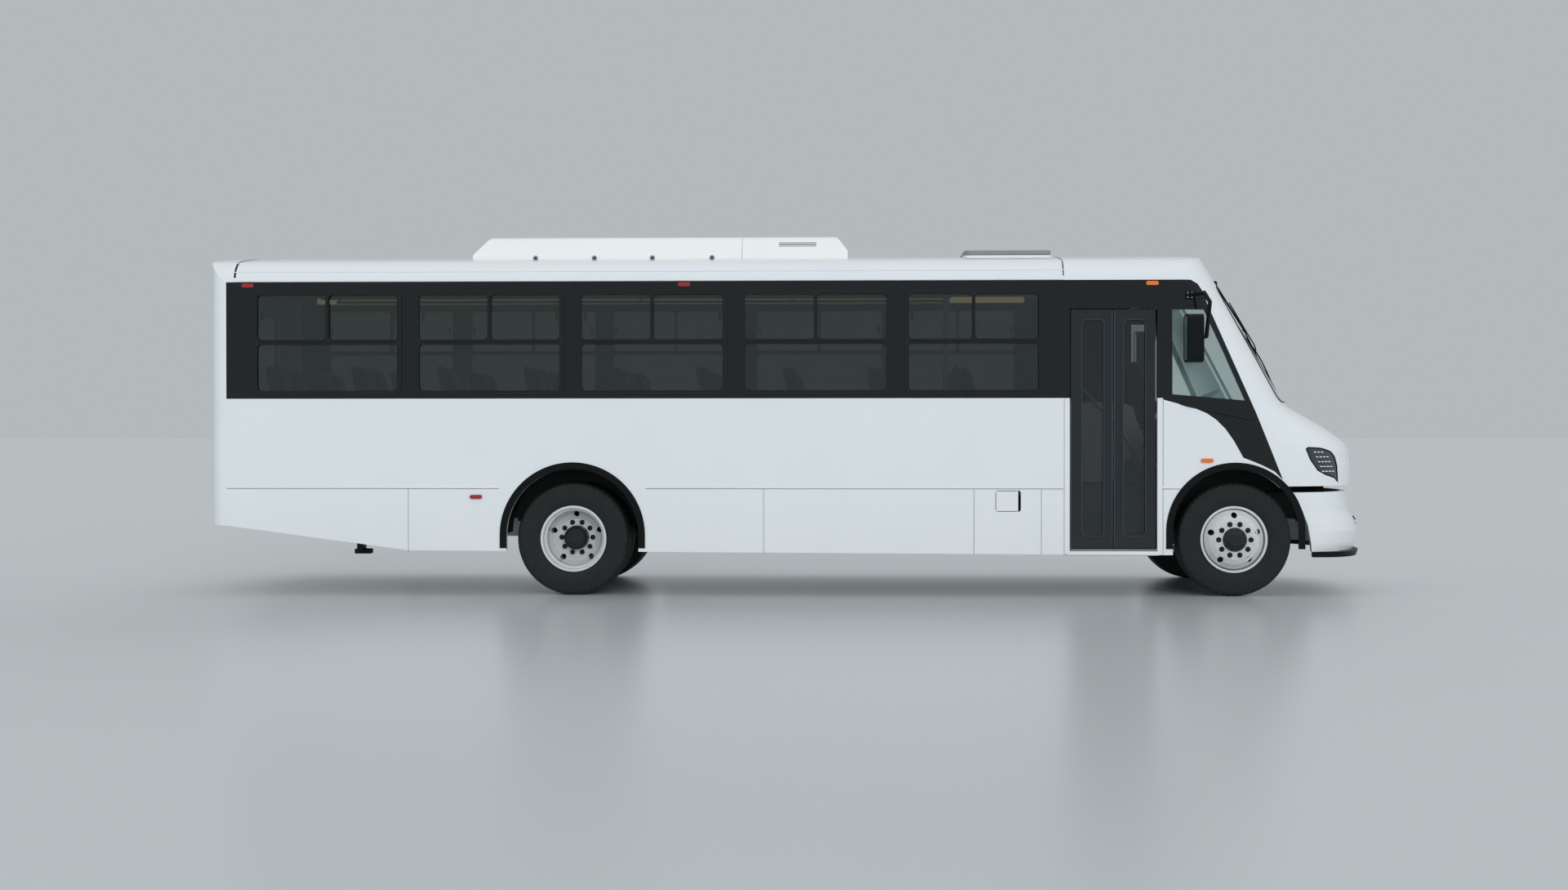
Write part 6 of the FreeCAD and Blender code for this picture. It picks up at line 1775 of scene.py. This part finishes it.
@dataclass
class RoofFittings:
    """Drip rails and end joints of the roof, fasteners and slots of its unit, and the hatch lid's ribs."""
    drip_runs: Rows = ((2.822, 0.0070), (2.905, 0.0055))
    drip_points: int = 40
    roof_span: Pair = (-3.060, 4.385)
    seam_marks: Rows = ((-3.062, 0.0110, 0.014), (4.385, 0.0065, -0.006))
    seam_eye_z: float = 2.300
    seam_turn_deg: float = 66.0
    seam_far_m: float = 3.0
    seam_skin: Pair = (0.0022, 0.002)
    fastener_x: Tuple[float, ...] = (-0.379, 0.160, 0.689, 1.233)
    fastener_z: float = 3.050
    cap_section: Rows = ((-0.004, 0), (-0.004, 0.011), (0.002, 0.011), (0.005, 0.007), (0.0055, 0))
    cup_section: Rows = ((-0.004, 0), (-0.004, 0.024), (0.0012, 0.024), (0.0026, 0.019), (0.0010, 0.014),
                         (0.0010, 0))
    slot_span: Pair = (1.840, 2.180)
    slot_z: Tuple[float, ...] = (3.160, 3.174, 3.188)
    slot_bar: Triple = (0.0035, 0.0025, 0.001)
    rib_half: float = 0.300
    rib_bar: Triple = (0.014, 0.005, 0.004)
    skin_lift: float = 0.0005
    rib_shares: Tuple[float, ...] = (0.25, 0.42, 0.58, 0.75)

    def rails(self) -> None:
        """Rolled drip rails along both roof edges, and the rubber joints over the roof at its ends."""
        drips = Piece("roof_drip_rails", "body", "body_white", WHITE_ENAMEL, 50.0)
        x = np.linspace(REAR_X + self.roof_span[0], REAR_X + self.roof_span[1], self.drip_points)
        for z, radius in self.drip_runs:
            on = seated("roof", rows_of(x, BESIDE_Y, z), ACROSS)
            if len(on) == len(x):
                drips.add_both(swept(on, disc_section(radius, 8)))
        joints = Piece("roof_end_joints", "body", "frame_rubber", GASKET_RUBBER, 50.0)
        turn = np.linspace(math.radians(-self.seam_turn_deg), math.radians(self.seam_turn_deg), 61)
        ways = rows_of(0 * turn, np.sin(turn), np.cos(turn))
        tree = skin_tree("roof")
        for along, half, inset in self.seam_marks:
            eye = np.array([REAR_X + along + inset, 0.0, self.seam_eye_z])
            hits = [tree.ray_cast(Vector(eye + self.seam_far_m * way), Vector(-way))[0] for way in ways]
            path = np.array([tuple(hit) for hit in hits if hit is not None])
            if len(path) > 40:
                joints.add(swept(path, soft_rect(self.seam_skin[0], half, self.seam_skin[1], 2), ALONG))
        build_filled(drips, joints)

    def unit(self) -> None:
        """Capped fasteners in their cups along the roof unit's foot, and three air slots near its front."""
        caps = Piece("roof_unit_fasteners", "body", "rail_metal", WHEEL_NUT_STEEL, 40.0)
        cups = Piece("roof_unit_fastener_cups", "body", "grey_plastic", GREY_PLASTIC, 40.0)
        slots = Piece("roof_unit_air_slots", "body", "black_plastic", MOULDED_BLACK, 40.0)
        for along in self.fastener_x:
            hit = seated("ac_unit", np.array([(REAR_X + along, BESIDE_Y, self.fastener_z)]), ACROSS)
            if len(hit):
                caps.add_both(revolved(np.array(self.cap_section), hit[0], 16, -1.0))
                cups.add_both(revolved(np.array(self.cup_section), hit[0], 24, -1.0))
        x = np.linspace(REAR_X + self.slot_span[0], REAR_X + self.slot_span[1], 14)
        for z in self.slot_z:
            path = seated("ac_unit", rows_of(x, BESIDE_Y, z), ACROSS, self.skin_lift)
            if len(path) > 4:
                slots.add_both(swept(path, soft_rect(*self.slot_bar, 2)))
        build_filled(caps, cups, slots)

    def build(self) -> None:
        """Make the roof's small parts, and the ribs across the hatch lid."""
        self.rails()
        self.unit()
        low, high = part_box("roof_hatch")
        ribs = Piece("hatch_lid_ribs", "hatch", "grey_plastic", GREY_PLASTIC, 40.0)
        y = np.linspace(-self.rib_half, self.rib_half, 15)
        for share in self.rib_shares:
            start = rows_of(low[0] + share * (high[0] - low[0]), y, ABOVE_Z)
            on = seated("roof_hatch", start, DOWN, self.skin_lift)
            if len(on) > 8:
                ribs.add(swept(on, soft_rect(*self.rib_bar, 3)))
        build_filled(ribs)


@dataclass
class Saloon:
    """Warm light strips in both coves, and the rail beside the stair."""
    strip_x: Pair = (-2.950, 4.250)
    strip_y: float = 1.130
    strip_z: float = 2.800
    strip_half: Pair = (0.018, 0.030)
    tray_behind: float = 0.030
    tray_half: Pair = (0.016, 0.042)
    rail_x: Pair = (4.60, 5.06)
    rail_y: float = -0.800
    rail_heights: Tuple[float, ...] = (0.985, 1.30, 1.60, 1.86)
    rail_radius: float = 0.016

    def build(self) -> None:
        """Make the lighting and the rail by the stair."""
        x0, x1 = REAR_X + self.strip_x[0], REAR_X + self.strip_x[1]
        middle, half = (x0 + x1) / 2, (x1 - x0) / 2
        glow = Piece("cove_light_diffusers", "body", "body_white", COVE_DIFFUSER, 40.0)
        tray = Piece("cove_light_trays", "body", "grey_plastic", GREY_PLASTIC, 40.0)
        glow.add_both(soft_box((middle, -self.strip_y, self.strip_z), (half, *self.strip_half), 0.012))
        tray.add_both(soft_box((middle, -self.strip_y - self.tray_behind, self.strip_z),
                               (half + 0.02, *self.tray_half), 0.008))
        rear, front = self.rail_x
        x = np.array([REAR_X + front, REAR_X + front, REAR_X + (rear + front) / 2, REAR_X + rear])
        rail = Piece("stair_grab_rails", "body", "rail_metal", RAIL_STEEL, 50.0)
        rail.add(swept(smooth_row(rows_of(x, self.rail_y, np.array(self.rail_heights)), 30),
                       disc_section(self.rail_radius, 10), ACROSS))
        build_filled(glow, tray, rail)


@dataclass
class Studio:
    """Camera, light, floor and backdrop for one plain product view."""
    ahead_of_rear_axle: float = 2.4461
    camera_y: float = -18.5357
    camera_z: float = 1.4683
    camera_turn_deg: Triple = (89.604, 0.025, 1.8185)
    lens_mm: float = 44.505
    sensor_mm: float = 36.0
    backdrop: str = "#B3BABC"
    zenith: Colour = (0.64, 0.655, 0.667, 1.0)
    horizon_rise: float = 0.02
    zenith_rise: float = 0.9
    floor_tone: str = "#C6CCCE"
    floor_roughness: float = 0.28
    floor_specular: float = 0.35
    floor_half_m: float = 400.0
    sight_m: float = 1000.0
    near_strength: float = 1.58
    near_turn_deg: Triple = (77.0, 0.0, 12.0)
    far_strength: float = 0.9
    far_turn_deg: Triple = (-65.0, 0.0, -12.0)
    lamp_spread_deg: float = 40.0

    def camera(self) -> None:
        """Place the camera where the picture was taken from."""
        data = bpy.data.cameras.new("view_camera")
        data.lens = self.lens_mm
        data.sensor_width = self.sensor_mm
        data.clip_end = self.sight_m
        camera = bpy.data.objects.new("view_camera", data)
        low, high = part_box("tyres_rear_right")
        camera.location = ((low[0] + high[0]) / 2 + self.ahead_of_rear_axle, self.camera_y, self.camera_z)
        camera.rotation_euler = Euler([math.radians(a) for a in self.camera_turn_deg], "XYZ")
        bpy.context.scene.collection.objects.link(camera)
        bpy.context.scene.camera = camera

    def world(self) -> None:
        """A sky that is the backdrop's grey at the horizon and brighter overhead."""
        world = bpy.data.worlds.new("studio_world")
        bpy.context.scene.world = world
        world.use_nodes = True
        tree = world.node_tree
        tree.nodes.clear()
        where = add_node(tree, "ShaderNodeTexCoord").outputs["Generated"]
        split = add_node(tree, "ShaderNodeSeparateXYZ", links={"Vector": where})
        rise = add_node(tree, "ShaderNodeMapRange",
                        {"From Min": self.horizon_rise, "From Max": self.zenith_rise},
                        {"Value": split.outputs["Z"]}, interpolation_type="SMOOTHSTEP")
        sky = add_node(tree, "ShaderNodeMix", {"A": srgb(self.backdrop), "B": self.zenith},
                       {"Factor": rise.outputs["Result"]}, data_type="RGBA")
        seen = add_node(tree, "ShaderNodeBackground", {"Color": srgb(self.backdrop), "Strength": 1.0})
        lit = add_node(tree, "ShaderNodeBackground", {"Strength": 1.0}, {"Color": sky.outputs["Result"]})
        path = add_node(tree, "ShaderNodeLightPath")
        mix = add_node(tree, "ShaderNodeMixShader", links={0: path.outputs["Is Camera Ray"],
                                                           1: lit.outputs["Background"],
                                                           2: seen.outputs["Background"]})
        add_node(tree, "ShaderNodeOutputWorld", links={"Surface": mix.outputs["Shader"]})

    def lamp(self, name: str, strength: float, turn_deg: Triple) -> None:
        """Add one broad, even lamp.

        Args:
            name: name of the lamp.
            strength: its light on a surface that faces it.
            turn_deg: the way it points, as XYZ angles.
        """
        data = bpy.data.lights.new(name, "SUN")
        data.energy = strength
        data.angle = math.radians(self.lamp_spread_deg)
        lamp = bpy.data.objects.new(name, data)
        lamp.rotation_euler = Euler([math.radians(a) for a in turn_deg], "XYZ")
        lamp.visible_glossy = False
        bpy.context.scene.collection.objects.link(lamp)

    def floor(self) -> None:
        """A plain floor that takes the shadow and a faint blurred reflection."""
        size = self.floor_half_m
        mesh = bpy.data.meshes.new("studio_floor")
        mesh.from_pydata([(-size, -size, 0), (size, -size, 0), (size, size, 0), (-size, size, 0)], [],
                         [(0, 1, 2, 3)])
        floor = bpy.data.objects.new("studio_floor", mesh)
        bpy.context.scene.collection.objects.link(floor)
        material = bpy.data.materials.new("studio_floor_paint")
        material.use_nodes = True
        tree = material.node_tree
        tree.nodes.clear()
        shader = add_node(tree, "ShaderNodeBsdfPrincipled",
                          {"Base Color": srgb(self.floor_tone), "Roughness": self.floor_roughness,
                           "Specular IOR Level": self.floor_specular})
        add_node(tree, "ShaderNodeOutputMaterial", links={"Surface": shader.outputs["BSDF"]})
        mesh.materials.append(material)

    def build(self) -> None:
        """Set the whole studio up."""
        bpy.context.scene.view_settings.view_transform = "Standard"
        self.camera()
        self.world()
        self.lamp("near_side_lamp", self.near_strength, self.near_turn_deg)
        self.lamp("far_side_lamp", self.far_strength, self.far_turn_deg)
        self.floor()
        log.info("studio ready")


SUB_ASSEMBLIES = (Tyres, WheelFittings, SideWindows, Seats, DoorTrim, SideTrim, FrontFace, MirrorsAndWipers,
                  RoofFittings, Saloon)


def dress_nodes() -> None:
    """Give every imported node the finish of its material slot."""
    rows = frame["record"]["subparts"]
    for row in rows:
        node = frame["nodes"][row["node"]]
        finish = SLOT_FINISHES[row["material_slot"]]
        if row["node"].startswith("door_glass"):
            finish = DOOR_PANE
        node.data.materials.clear()
        node.data.materials.append(finish.build())
    log.info("dressed %d nodes", len(rows))


def main() -> None:
    """Build the bus's dress in order and note its size."""
    logging.basicConfig(level=logging.INFO, format="%(name)s: %(message)s")
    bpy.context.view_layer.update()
    Studio().build()
    dress_nodes()
    for part in SUB_ASSEMBLIES:
        part().build()


if __name__ == "__main__":
    main()
